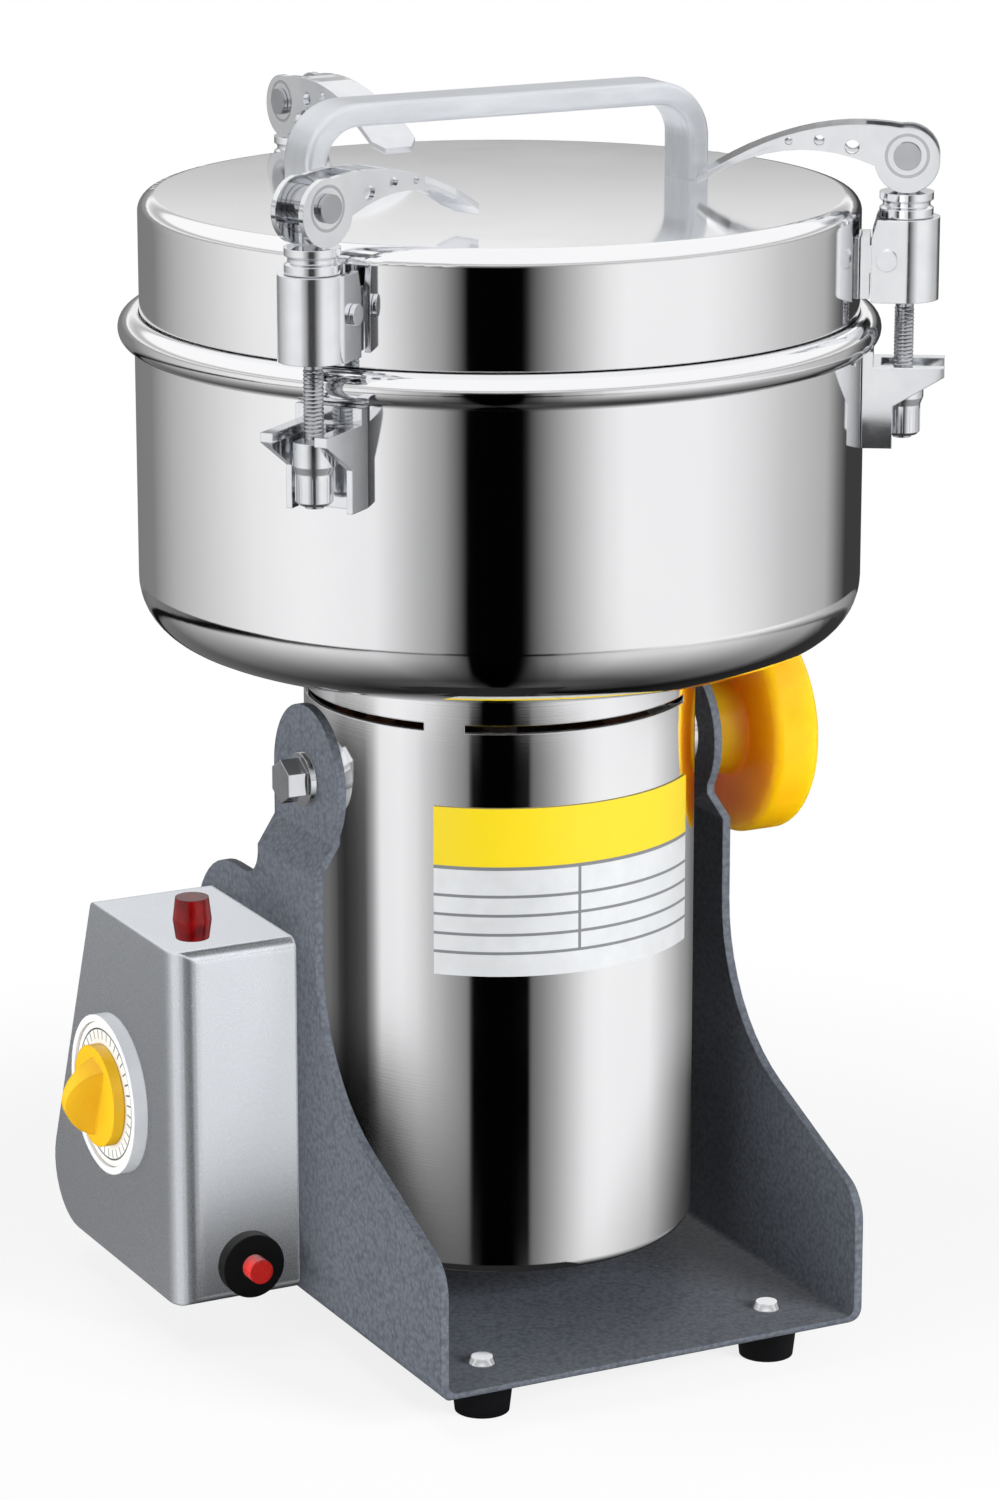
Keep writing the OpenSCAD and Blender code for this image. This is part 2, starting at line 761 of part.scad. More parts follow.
module timer_bezel() {
  color("#c9ccd1") at_axis() difference() {
    rod_x(box_x - bezel_t, box_x, dial_d / 2 + bezel_w, timer_y, timer_z);
    rod_x(box_x - bezel_t - weld, box_x + weld, dial_d / 2, timer_y, timer_z);
  }
}

module timer_knob() {
  face = dial_x - face_clear;
  disc = face - timer_knob_t;
  crown = wing_w * wing_crown;
  color("gold") at_axis() difference() {
    union() {
      rod_x(disc, face, timer_knob_d / 2, timer_y, timer_z);
      translate([0, timer_y, timer_z]) rotate([wing_turn, 0, 0]) intersection() {
        linear_extrude(timer_knob_d, center = true) polygon([
          [disc + weld, -wing_w / 2], [disc + weld, wing_w / 2],
          [disc - wing_h, crown / 2], [disc - wing_h, -crown / 2]
        ]);
        rod_y(-wing_w, wing_w, wing_r, disc - wing_h + wing_r, 0);
      }
    }
    rod_x(disc - face_clear, face + weld, timer_shaft_d / 2 + run_clear, timer_y, timer_z);
  }
}

module lamp_lens() {
  flare = lamp_d * lamp_flare;
  belt = lamp_h * lamp_belt;
  color("darkred") at_axis() translate([lamp_x, lamp_y, box_top]) {
    cylinder(h = belt, d1 = flare, d2 = lamp_d);
    translate([0, 0, belt]) cylinder(h = lamp_h - belt, d1 = lamp_d, d2 = flare);
    translate([0, 0, -lamp_stem_l]) cylinder(h = lamp_stem_l + weld, d = lamp_stem_d);
  }
}

module reset_body() {
  face = -box_front;
  color("#202124") at_axis() difference() {
    union() {
      rod_y(face - reset_t, face, reset_d / 2, reset_x, reset_z);
      rod_y(face - weld, face + reset_stem_l, reset_stem_d / 2, reset_x, reset_z);
    }
    rod_y(face - reset_t - weld, face + reset_stem_l / 2, button_seat_r, reset_x, reset_z);
  }
}

module reset_button() {
  face = -box_front;
  seat = face + reset_stem_l / 2 - button_travel - face_clear;
  color("red") at_axis() rod_y(face - reset_t - button_h, seat, button_d / 2, reset_x, reset_z);
}

module gland_place() {
  translate([gland_x, gland_y, gland_z]) rotate([box_lean - 90, 0, 0]) children();
}

module cord_gland() {
  neck = box_wall + gland_l / 2;
  color("#202124") at_axis() gland_place() difference() {
    union() {
      cylinder(h = gland_l, d1 = gland_d, d2 = gland_d * head_taper);
      translate([0, 0, -neck]) cylinder(h = neck + weld, d = gland_bore_d + 2 * gland_wall);
    }
    translate([0, 0, -box_wall - gland_l]) cylinder(h = 3 * gland_l, d = gland_bore_d);
  }
}

// Tilt joint
module trunnion_bosses() {
  color("silver") at_axis() both_sides() difference() {
    union() {
      difference() {
        rod_x(barrel_r / 2, boss_face, boss_d / 2, 0, pivot_z);
        translate([0, 0, pivot_z - boss_d]) cylinder(h = 2 * boss_d, r = barrel_r + seat_clear);
      }
      rod_x(spigot_x, boss_face - weld, boss_spigot_d / 2, 0, pivot_z);
    }
    rod_x(spigot_x - weld, boss_face + weld, pivot_d / 2 + run_clear, 0, pivot_z);
  }
}

module pivot_bolt() {
  color("silver") at_axis() mirror([1, 0, 0]) {
    rod_x(stud_tip_x, bolt_head_x + weld, pivot_d / 2, 0, pivot_z);
    translate([bolt_head_x, 0, pivot_z]) rotate([0, 90, 0])
      cylinder(h = pivot_head_h, d = pivot_flats / cos(30), $fn = 6);
  }
}

module washer_at() {
  difference() {
    rod_x(washer_x, washer_x + washer_t, washer_d / 2, 0, pivot_z);
    rod_x(washer_x - weld, washer_x + washer_t + weld, pivot_d / 2 + run_clear, 0, pivot_z);
  }
}

module pivot_washer() {
  color("silver") at_axis() mirror([1, 0, 0]) washer_at();
}

module lock_washer() {
  color("silver") at_axis() washer_at();
}

module lock_knob() {
  dish = 4;
  bead = 3;
  color("gold") at_axis() difference() {
    translate([0, 0, pivot_z]) rotate([0, 90, 0]) rotate_extrude() difference() {
      polygon(rounded([
        [0, knob_x], [knob_hub_d / 2 - bead, knob_x], [knob_hub_d / 2, knob_rim_x],
        [knob_d / 2, knob_rim_x], [knob_d / 2, knob_out_x], [0, knob_out_x]
      ], [0, bead / 2, bead / 2, bead, bead, 0]));
      translate([0, knob_out_x - dish]) square([knob_d / 2 - 2 * bead, dish + weld]);
    }
    rod_x(knob_x - weld, knob_x + stud_depth, pivot_d / 2 + run_clear, 0, pivot_z);
  }
}

module lock_stud() {
  color("silver") at_axis() rod_x(stud_tip_x, knob_x + stud_depth - face_clear, pivot_d / 2, 0, pivot_z);
}

// Motor
module motor_barrel() {
  color("gainsboro") at_axis() difference() {
    rotate_extrude() difference() {
      cup_half(barrel_r, barrel_z, bowl_z, barrel_fillet);
      cup_half(barrel_in, barrel_z + barrel_wall, bowl_z + weld, barrel_fillet - barrel_wall);
    }
    for (k = [0:3]) rotate([0, 0, 90 * k + vent_start]) rotate([0, 0, vent_bridge / 2])
      rotate_extrude(angle = 90 - vent_bridge) translate([barrel_in - weld, vent_z])
        square([barrel_wall + 2 * weld, vent_h]);
    rod_x(-barrel_r - weld, barrel_r + weld, boss_spigot_d / 2 + seat_clear, 0, pivot_z);
  }
}

module label_plate() {
  color("khaki") at_axis() rotate([0, 0, label_angle - label_span / 2]) rotate_extrude(angle = label_span)
    translate([barrel_r + face_clear, pivot_z - label_drop - label_h]) square([label_t, label_h]);
}

module top_flange() {
  color("lightgray") at_axis() difference() {
    ring(plate_r, bearing_d / 2 + run_clear, upper_plate_z, end_plate_t);
    bowl_screw_holes(upper_plate_z, end_plate_t);
  }
}

module lower_plate() {
  color("lightgray") at_axis() {
    ring(plate_r, bearing_d / 2 + run_clear, lower_plate_z, end_plate_t);
    for (s = [-1, 1]) translate([0, s * brush_post_rho, lower_plate_z + end_plate_t - weld])
      cylinder(h = brush_z - brush_w - lower_plate_z - end_plate_t + weld, d = brush_post_d);
  }
}

module bearing(plate_z) {
  ring(bearing_d / 2, shaft_d / 2 + run_clear, plate_z + bearing_lift, bearing_w);
}

module upper_bearing() {
  color("silver") at_axis() bearing(upper_plate_z);
}

module lower_bearing() {
  color("silver") at_axis() bearing(lower_plate_z);
}

module stator_core() {
  color("dimgray") at_axis() ring(plate_r, stator_bore_d / 2, stator_z, stator_h);
}

module stator_coils() {
  color("chocolate") at_axis() for (z = [stator_z - coil_h, stator_top])
    ring(plate_r - coil_out_gap, stator_bore_d / 2 + coil_in_gap, z, coil_h);
}

module brush_gear() {
  tip = commutator_d / 2 + seat_clear;
  tail = commutator_d / 2 + brush_w * 4;
  color("#2b2b2b") at_axis() for (s = [0, 180]) rotate([0, 0, s + 90])
    translate([tip, -brush_w / 2, brush_z - brush_w]) cube([tail - tip, brush_w, 2 * brush_w]);
}

module motor_shaft() {
  color("silver") at_axis() {
    translate([0, 0, shaft_low]) cylinder(h = shaft_shoulder_z - shaft_low, d = shaft_d);
    translate([0, 0, shaft_shoulder_z - weld])
      cylinder(h = shaft_top - shaft_shoulder_z + weld, d = blade_seat_d);
  }
}

module rotor_core() {
  color("dimgray") at_axis() ring(rotor_r, shaft_d / 2 + run_clear, stator_z, stator_h);
}

module commutator() {
  color("peru") at_axis() ring(commutator_d / 2, shaft_d / 2 + run_clear, commutator_z, commutator_h);
}

module cooling_fan() {
  hub_r = shaft_d / 2 + fan_hub_wall;
  color("#3a3a3c") at_axis() difference() {
    union() {
      translate([0, 0, fan_z + fan_h - fan_sheet]) cylinder(h = fan_sheet, d = fan_d);
      translate([0, 0, fan_z]) cylinder(h = fan_h, r = hub_r);
      for (k = [1:fan_blades]) rotate([0, 0, 360 / fan_blades * k])
        translate([hub_r - weld, -fan_sheet / 2, fan_z])
          cube([fan_d / 2 - hub_r, fan_sheet, fan_h - fan_sheet / 2]);
    }
    translate([0, 0, fan_z - weld]) cylinder(h = fan_h + 2 * weld, d = shaft_d + 2 * run_clear);
  }
}

// Bowl and blades
module at_bowl_screws(z) {
  for (k = [0:3]) rotate([0, 0, 90 * k + 45]) translate([bowl_screw_ring_d / 2, 0, z]) children();
}

module bowl_screw_holes(z, h) {
  at_bowl_screws(z - weld) cylinder(h = h + 2 * weld, d = bowl_screw_d + 2 * run_clear);
}

module bowl() {
  color("gainsboro") at_axis() difference() {
    rotate_extrude() difference() {
      union() {
        cup_half(bowl_r, bowl_z, rim_z, bowl_fillet);
        translate([bowl_r, rim_z]) circle(rim_r);
      }
      cup_half(bowl_in, floor_top, rim_top + weld, bowl_fillet - bowl_wall);
    }
    translate([0, 0, bowl_z - weld]) cylinder(h = bowl_wall + 2 * weld, d = floor_hole_d);
    bowl_screw_holes(bowl_z, bowl_wall);
  }
}

module bowl_screws() {
  head = bowl_screw_d * head_ratio;
  color("silver") at_axis() {
    at_bowl_screws(upper_plate_z) cylinder(h = floor_top - upper_plate_z, d = bowl_screw_d);
    at_bowl_screws(floor_top) cylinder(h = bowl_screw_head, d1 = head, d2 = head * head_taper);
  }
}

module floor_seal() {
  lip = 3;
  color("#2b2b2b") at_axis() difference() {
    union() {
      translate([0, 0, bowl_z]) cylinder(h = bowl_wall + weld, r = seal_r);
      translate([0, 0, floor_top]) cylinder(h = lip, r1 = seal_r + lip, r2 = seal_r);
    }
    translate([0, 0, bowl_z - weld]) cylinder(h = lip + bowl_wall + 3 * weld, d = shaft_d + 2 * run_clear);
  }
}

module blade_outline(l) {
  tip = blade_w * blade_tip_ratio;
  swept = tip * blade_sweep_ratio;
  polygon(rounded([
    [-l / 2, -tip / 2], [0, -blade_w / 2], [l / 2, -tip / 2],
    [l / 2, tip / 2], [0, blade_w / 2], [-l / 2, tip / 2]
  ], [swept, 0, 0, swept, 0, 0]));
}

module blade(l, z, hub, turn) {
  color("silver") at_axis() rotate([0, 0, turn]) difference() {
    union() {
      translate([0, 0, z]) linear_extrude(blade_t) blade_outline(l);
      translate([0, 0, z]) cylinder(h = hub, d = blade_hub_d);
    }
    translate([0, 0, z - weld]) cylinder(h = hub + 2 * weld, d = blade_seat_d + 2 * run_clear);
  }
}

module blade_lower() {
  blade(blade_low_l, blade_low_z, blade_t + blade_gap, 0);
}

module blade_upper() {
  blade(blade_top_l, blade_top_z, blade_t, 90);
}

module blade_nut() {
  color("silver") at_axis() difference() {
    translate([0, 0, blade_nut_z]) cylinder(h = blade_nut_h, d = blade_nut_flats / cos(30), $fn = 6);
    translate([0, 0, blade_nut_z - weld])
      cylinder(h = blade_nut_h + 2 * weld, d = blade_seat_d + 2 * run_clear);
  }
}

// Lid
module lid() {
  color("gainsboro") at_axis() difference() {
    rotate_extrude() difference() {
      union() {
        cap_half(lid_r, lid_z, lid_top, lid_fillet);
        translate([skirt_r - bowl_wall, rim_top - skirt_h]) square([bowl_wall, skirt_h + 2 * weld]);
        translate([skirt_r - bowl_wall, lid_z]) square([lid_r - skirt_r, bowl_wall]);
      }
      difference() {
        cap_half(lid_in, lid_z - weld, lid_top - bowl_wall, lid_fillet - bowl_wall);
        translate([skirt_r - bowl_wall, rim_top - skirt_h]) square([bowl_wall, skirt_h + 2 * weld]);
        translate([skirt_r - bowl_wall, lid_z]) square([lid_r - skirt_r, bowl_wall]);
      }
    }
    for (x = handle_screw_x) translate([x, 0, lid_top - bowl_wall - weld])
      cylinder(h = bowl_wall + 2 * weld, d = handle_screw_d + 2 * run_clear);
  }
}

module lid_gasket() {
  outer = skirt_r + seat_clear + gasket_t;
  color("white") at_axis() ring(outer, skirt_r + seat_clear / 2, rim_z - gasket_h / 2, gasket_h);
}

module bar_section() {
  long = handle_w / 2 - handle_edge;
  short = handle_t / 2 - handle_edge;
  square([handle_t, 2 * long], center = true);
  square([2 * short, handle_w], center = true);
  for (u = [-short, short]) for (v = [-long, long]) translate([u, v]) circle(handle_edge);
}

module lid_handle() {
  leg = handle_l / 2 - handle_t / 2;
  straight = handle_l / 2 - handle_bend;
  bend_z = lid_top + handle_h - handle_bend;
  color("#d5d8dc") at_axis() difference() {
    union() {
      both_sides() {
        translate([leg, 0, lid_top]) linear_extrude(handle_h - handle_bend) bar_section();
        translate([straight, 0, bend_z]) rotate([90, 0, 0]) rotate_extrude(angle = 90)
          translate([handle_bend - handle_t / 2, 0]) bar_section();
      }
      translate([-straight, 0, lid_top + handle_h - handle_t / 2]) rotate([0, 90, 0])
        linear_extrude(2 * straight) bar_section();
    }
    for (x = handle_screw_x) translate([x, 0, lid_top - weld])
      cylinder(h = handle_h / 2 + weld, d = handle_screw_d + 2 * run_clear);
  }
}

module handle_screws() {
  under = lid_top - bowl_wall;
  head = handle_screw_d / 2;
  color("silver") at_axis() for (x = handle_screw_x) translate([x, 0, 0]) {
    translate([0, 0, under]) cylinder(h = handle_h / 2, d = handle_screw_d);
    translate([0, 0, under - head]) cylinder(h = head, d = handle_screw_d * head_ratio);
  }
}

// Latches, in a frame at the bolt: X away from the bowl, Z up from the middle of the rim
module at_latch(i) {
  rotate([0, 0, latch_angles[i]]) translate([bolt_rho, 0, rim_z]) children();
}

module at_lever(i) {
  at_latch(i) rotate([0, 0, lever_turns[i]]) children();
}

module off_wall(r, z0, z1) {
  difference() {
    children();
    translate([-bolt_rho, 0, z0]) cylinder(h = z1 - z0, r = r + seat_clear, $fn = wall_fn);
  }
}

module bowl_catches() {
  flange = 2;
  color("silver") at_axis() for (i = [0:2]) at_latch(i) off_wall(bowl_r, catch_z - weld, weld) {
    translate([-latch_reach - bracket_t, -catch_w / 2, catch_z]) cube([2 * bracket_t, catch_w, catch_h]);
    difference() {
      translate([catch_face - weld, -catch_w / 2, fork_z])
        cube([fork_reach - catch_face + weld, catch_w, fork_t]);
      translate([-slot_half, -slot_half, fork_z - weld])
        cube([fork_reach * 4, 2 * slot_half, fork_t + 2 * weld]);
    }
    for (s = [-1, 1]) translate([0, s * (catch_w / 2 - flange / 2), 0]) along_y(-flange / 2, flange / 2)
      polygon([
        [catch_face - weld, fork_z + weld], [fork_reach, fork_z + weld], [fork_reach, fork_z],
        [-flange_back, fork_z - fork_slope_h], [-flange_back, catch_z], [catch_face - weld, catch_z]
      ]);
  }
}

module lid_brackets() {
  plate_z = housing_lift + weld;
  color("silver") at_axis() for (i = [0:2]) at_latch(i) off_wall(lid_r, 0, housing_top) difference() {
    union() {
      translate([-lid_reach - bracket_t, -cheek_out, plate_z])
        cube([2 * bracket_t, 2 * cheek_out, bracket_h]);
      for (s = [-1, 1]) scale([1, s, 1]) {
        rod_y(cheek_in, cheek_out, lug_r, -hinge_back, hinge_z);
        translate([bracket_face - weld, cheek_in, hinge_z - lug_r])
          cube([-hinge_back - bracket_face + weld, cheek_out - cheek_in, 2 * lug_r]);
      }
    }
    rod_y(-housing_w, housing_w, rivet_d / 2 + run_clear / 2, -hinge_back, hinge_z);
  }
}

module hinge_rivets() {
  seat = housing_w / 2 + face_clear;
  color("silver") at_axis() for (i = [0:2]) at_latch(i) for (s = [-1, 1]) scale([1, s, 1]) {
    rod_y(cheek_in, seat + weld, rivet_d / 2, -hinge_back, hinge_z);
    rod_y(seat, seat + rivet_head_h, rivet_head_d / 2, -hinge_back, hinge_z);
  }
}

module housing_plan(inset) {
  half = housing_w / 2 - inset;
  circle(half);
  translate([housing_back, -half]) square([-housing_back, 2 * half]);
}

module latch_housing(i) {
  color("gainsboro") at_axis() at_latch(i) difference() {
    union() {
      translate([0, 0, housing_lift]) linear_extrude(housing_h) difference() {
        housing_plan(0);
        housing_plan(housing_wall);
        translate([housing_back - weld, housing_wall - housing_w / 2])
          square([2 * weld, housing_w - 2 * housing_wall]);
      }
      translate([0, 0, housing_lift]) cylinder(h = housing_h, r = guide_r);
      translate([0, 0, housing_top - housing_wall]) linear_extrude(housing_wall) intersection() {
        circle(housing_w / 2 - housing_wall / 2);
        translate([-guide_r / 2, -housing_w / 2]) square([housing_w, housing_w]);
      }
    }
    translate([0, 0, housing_lift - weld]) cylinder(h = housing_h + 2 * weld, d = bolt_d + 2 * run_clear);
    rod_y(-housing_w, housing_w, rivet_d / 2 + run_clear, -hinge_back, hinge_z);
    along_y(-housing_w, housing_w) polygon([
      [housing_back - weld, housing_top - housing_bevel_h], [housing_back, housing_top - housing_bevel_h],
      [housing_back + housing_bevel_w, housing_top + weld], [housing_back - weld, housing_top + weld]
    ]);
  }
}

module latch_collar(i) {
  neck = collar_d * collar_neck;
  color("silver") at_axis() at_latch(i) difference() {
    translate([0, 0, collar_z]) rotate_extrude() polygon([
      [0, 0], [collar_d / 2, 0], [collar_d / 2, collar_h * collar_steps[0]],
      [neck, collar_h * collar_steps[1]], [neck, collar_h * collar_steps[2]],
      [collar_d / 2, collar_h * collar_steps[3]], [collar_d / 2, collar_h], [0, collar_h]
    ]);
    translate([0, 0, collar_z - weld]) cylinder(h = collar_h + 2 * weld, d = bolt_d + 2 * run_clear);
  }
}

module latch_bolt(i) {
  eye = lever_w / 2 - lever_t - face_clear;
  side = lever_w / 2 + face_clear;
  color("silver") at_axis() at_lever(i) {
    translate([0, 0, bolt_end]) cylinder(h = cam_pin_z - bolt_end, d = bolt_d);
    rod_y(-eye, eye, cam_r * eye_ratio, 0, cam_pin_z);
    rod_y(-side, side, cam_pin_d / 2, 0, cam_pin_z);
    for (s = [-1, 1]) scale([1, s, 1]) rod_y(side, side + rivet_head_h, cam_head_d / 2, 0, cam_pin_z);
  }
}

function edge_at(curve, t) = [-lever_l * t, lever_l * (curve[0] + curve[1] * t + curve[2] * t * t)];
function edge_run(curve, t0, t1) = [for (k = [0:arc_steps]) edge_at(curve, t0 + (t1 - t0) * k / arc_steps)];

module lever_arm() {
  translate([0, -cam_throw]) circle(cam_r);
  polygon(concat(edge_run(arm_top, 0, arm_end), edge_run(arm_low, arm_end, 0)));
}

module lever_plan() {
  l = lever_l;
  polygon([
    [l, -lever_w / 2], [-l * flare_start, -lever_w / 2], [-l * flare_end, -tip_w / 2],
    [l * (tip_corner - 1), -tip_w / 2], [-l, l * tip_corner - tip_w / 2],
    [-l, tip_w / 2 - l * tip_corner], [l * (tip_corner - 1), tip_w / 2],
    [-l * flare_end, tip_w / 2], [-l * flare_start, lever_w / 2], [l, lever_w / 2]
  ]);
}

module latch_lever(i) {
  web = edge_run(arm_top, web_start, 1);
  back = [for (k = [arc_steps:-1:0]) web[k] - [0, lever_t]];
  color("gainsboro") at_axis() at_lever(i) translate([0, 0, cam_pin_z]) difference() {
    union() {
      for (s = [-1, 1]) scale([1, s, 1]) along_y(lever_w / 2 - lever_t, lever_w / 2) lever_arm();
      intersection() {
        along_y(-tip_w, tip_w) polygon(concat(web, back));
        linear_extrude(2 * lever_l, center = true) lever_plan();
      }
    }
    rod_y(-lever_w, lever_w, cam_pin_d / 2 + run_clear, 0, 0);
    for (h = lever_holes) rod_y(-lever_w, lever_w, h[2] * lever_l, -h[0] * lever_l, h[1] * lever_l);
  }
}

module latch_nut(i) {
  waist = nut_d * nut_waist;
  color("silver") at_axis() at_latch(i) difference() {
    translate([0, 0, nut_z]) rotate_extrude() polygon([
      [0, 0], [waist / 2 - weld, 0], [waist / 2, weld], [waist / 2, nut_h * nut_step[0]],
      [nut_d / 2, nut_h * nut_step[1]], [nut_d / 2, nut_h], [0, nut_h]
    ]);
    translate([0, 0, nut_z - weld]) cylinder(h = nut_h + 2 * weld, d = bolt_d + 2 * run_clear);
  }
}

stand_frame();
feet();
foot_screws();
control_box();
box_screws();
timer_body();
timer_dial();
timer_bezel();
timer_knob();
lamp_lens();
reset_body();
reset_button();
cord_gland();
pivot_bolt();
pivot_washer();
trunnion_bosses();
lock_washer();
lock_knob();
lock_stud();
motor_barrel();
label_plate();
top_flange();
lower_plate();
upper_bearing();
lower_bearing();
stator_core();
stator_coils();
brush_gear();
motor_shaft();
rotor_core();
commutator();
cooling_fan();
bowl();
bowl_screws();
floor_seal();
blade_lower();
blade_upper();
blade_nut();
bowl_catches();
lid();
lid_gasket();
lid_handle();
handle_screws();
lid_brackets();
hinge_rivets();
latch_housing(0);  // latch_a_housing
latch_collar(0);  // latch_a_collar
latch_bolt(0);  // latch_a_bolt
latch_lever(0);  // latch_a_lever
latch_nut(0);  // latch_a_nut
latch_housing(1);  // latch_b_housing
latch_collar(1);  // latch_b_collar
latch_bolt(1);  // latch_b_bolt
latch_lever(1);  // latch_b_lever
latch_nut(1);  // latch_b_nut
latch_housing(2);  // latch_c_housing
latch_collar(2);  // latch_c_collar
latch_bolt(2);  // latch_c_bolt
latch_lever(2);  // latch_c_lever
latch_nut(2);  // latch_c_nut
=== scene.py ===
import json
import math

import bmesh
import bpy
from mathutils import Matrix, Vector

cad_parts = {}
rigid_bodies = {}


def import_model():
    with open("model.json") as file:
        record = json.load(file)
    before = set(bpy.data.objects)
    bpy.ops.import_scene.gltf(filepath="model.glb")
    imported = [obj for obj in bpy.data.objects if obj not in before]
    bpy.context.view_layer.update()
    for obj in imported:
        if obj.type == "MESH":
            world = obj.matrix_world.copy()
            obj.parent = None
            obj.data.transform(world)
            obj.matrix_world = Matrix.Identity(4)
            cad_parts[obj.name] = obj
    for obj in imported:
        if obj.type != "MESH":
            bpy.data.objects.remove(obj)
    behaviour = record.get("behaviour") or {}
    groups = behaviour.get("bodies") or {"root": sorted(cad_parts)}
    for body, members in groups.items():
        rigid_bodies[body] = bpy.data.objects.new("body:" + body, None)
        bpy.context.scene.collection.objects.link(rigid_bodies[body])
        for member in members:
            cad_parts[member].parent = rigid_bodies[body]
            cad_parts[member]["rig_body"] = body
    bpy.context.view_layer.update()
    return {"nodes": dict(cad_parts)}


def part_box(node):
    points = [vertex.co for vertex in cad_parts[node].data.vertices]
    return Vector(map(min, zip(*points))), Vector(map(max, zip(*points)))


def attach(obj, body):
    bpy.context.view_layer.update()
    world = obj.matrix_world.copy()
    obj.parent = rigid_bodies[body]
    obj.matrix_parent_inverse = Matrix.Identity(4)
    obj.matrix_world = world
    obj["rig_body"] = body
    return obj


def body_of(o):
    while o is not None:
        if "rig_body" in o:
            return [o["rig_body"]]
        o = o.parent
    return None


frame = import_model()
nodes = frame["nodes"]
mm = 0.001


# middle of a node's box
def middle(name):
    low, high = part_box(name)
    return (Vector(low) + Vector(high)) / 2


axisAt = middle("motor_barrel")
print("frame loaded:", len(nodes), "nodes")


# a value in a node tree, so that shader sums read as plain sums
class Val:
    def __init__(self, paint, socket):
        self.paint = paint
        self.socket = socket

    def sum(self, op, a, b):
        return self.paint.node("ShaderNodeMath", {"operation": op}, {0: a, 1: b})

    def __add__(self, other):
        return self.sum("ADD", self, other)

    def __radd__(self, other):
        return self.sum("ADD", other, self)

    def __sub__(self, other):
        return self.sum("SUBTRACT", self, other)

    def __rsub__(self, other):
        return self.sum("SUBTRACT", other, self)

    def __mul__(self, other):
        return self.sum("MULTIPLY", self, other)

    def __rmul__(self, other):
        return self.sum("MULTIPLY", other, self)

    def __truediv__(self, other):
        return self.sum("DIVIDE", self, other)

    def __rtruediv__(self, other):
        return self.sum("DIVIDE", other, self)

    def __gt__(self, other):
        return self.sum("GREATER_THAN", self, other)

    def __lt__(self, other):
        return self.sum("LESS_THAN", self, other)


# the node tree of one finish, or of the world
class Paint:
    def __init__(self, tree):
        self.tree = tree
        tree.nodes.clear()

    def node(self, kind, settings=None, sockets=None, out=0):
        made = self.tree.nodes.new(kind)
        for key, value in (settings or {}).items():
            if key == "stops":
                ramp = made.color_ramp
                while len(ramp.elements) < len(value):
                    ramp.elements.new(0.5)
                for element, (place, colour) in zip(ramp.elements, value):
                    element.position = place
                    element.color = colour
            else:
                setattr(made, key, value)
        for key, value in (sockets or {}).items():
            if isinstance(value, Val):
                self.tree.links.new(value.socket, made.inputs[key])
            else:
                made.inputs[key].default_value = value
        return None if out is None else Val(self, made.outputs[out])

    def place(self, centre=None):
        where = self.node("ShaderNodeTexCoord", out="Object")
        if centre is None:
            return where
        return self.vector("SUBTRACT", where, centre)

    def vector(self, op, a, b):
        return self.node("ShaderNodeVectorMath", {"operation": op}, {0: a, 1: b})

    def distance(self, vector):
        return self.node("ShaderNodeVectorMath", {"operation": "LENGTH"}, {0: vector}, "Value")

    def parts(self, vector):
        split = self.node("ShaderNodeSeparateXYZ", None, {0: vector})
        outs = split.socket.node.outputs
        return [Val(self, outs[k]) for k in range(3)]

    def maths(self, op, *values):
        return self.node("ShaderNodeMath", {"operation": op}, dict(enumerate(values)))

    def degrees(self, up, across):
        return self.maths("ARCTAN2", up, across) * (180 / math.pi)

    def noise(self, vector, scale, detail=3.0, rough=0.55):
        return self.node("ShaderNodeTexNoise", {"noise_dimensions": "3D"},
                         {"Vector": vector, "Scale": scale, "Detail": detail, "Roughness": rough}, "Fac")

    def blend(self, mask, a, b):
        return self.node("ShaderNodeMix", {"data_type": "RGBA"}, {0: mask, 6: a, 7: b}, 2)

    def band(self, value, low, high):
        return (value > low) * (value < high)

    def ramp(self, value, low, high, start=0.0, end=1.0):
        return self.node("ShaderNodeMapRange", {"clamp": True},
                         {0: value, 1: low, 2: high, 3: start, 4: end})

    # the middle half of a noise, stretched between two values
    def spread(self, value, low, high):
        return self.ramp(value, 0.25, 0.75, low, high)

    def mottle(self, value, dark, light):
        return self.blend(self.spread(value, 0.0, 1.0), dark, light)

    def rounded(self, radius):
        return self.node("ShaderNodeBevel", {"samples": 4}, {"Radius": radius})

    def bump(self, height, strength, distance, normal):
        return self.node("ShaderNodeBump", None,
                         {"Strength": strength, "Distance": distance, "Height": height, "Normal": normal})


def rgb(r, g, b):
    parts = (r / 255, g / 255, b / 255)
    return (*(c / 12.92 if c <= 0.04045 else ((c + 0.055) / 1.055) ** 2.4 for c in parts), 1.0)


def grey(level):
    return rgb(level, level, level)


black = (0, 0, 0, 1)
white = (1, 1, 1, 1)


def newFinish(name, fixed):
    made = bpy.data.materials.new(name)
    made.use_nodes = True
    paint = Paint(made.node_tree)
    skin = paint.node("ShaderNodeBsdfPrincipled", None, fixed)
    paint.node("ShaderNodeOutputMaterial", None, {0: skin}, None)
    return made, paint, skin.socket.node


def wire(paint, skin, **links):
    names = {"colour": "Base Color", "rough": "Roughness", "metal": "Metallic", "normal": "Normal",
             "glow": "Emission Color"}
    for key, value in links.items():
        paint.tree.links.new(value.socket, skin.inputs[names[key]])


# usual surface of a finish: mottled colour, uneven roughness and a fine relief under softened edges
def dress(paint, skin, facts, tone, wear, relief):
    wire(paint, skin, colour=paint.mottle(tone, facts["dark"], facts["light"]),
         rough=paint.spread(wear, *facts["rough"]),
         normal=paint.bump(relief, facts["bump"], facts["bumpHigh"], paint.rounded(facts["edge"])))


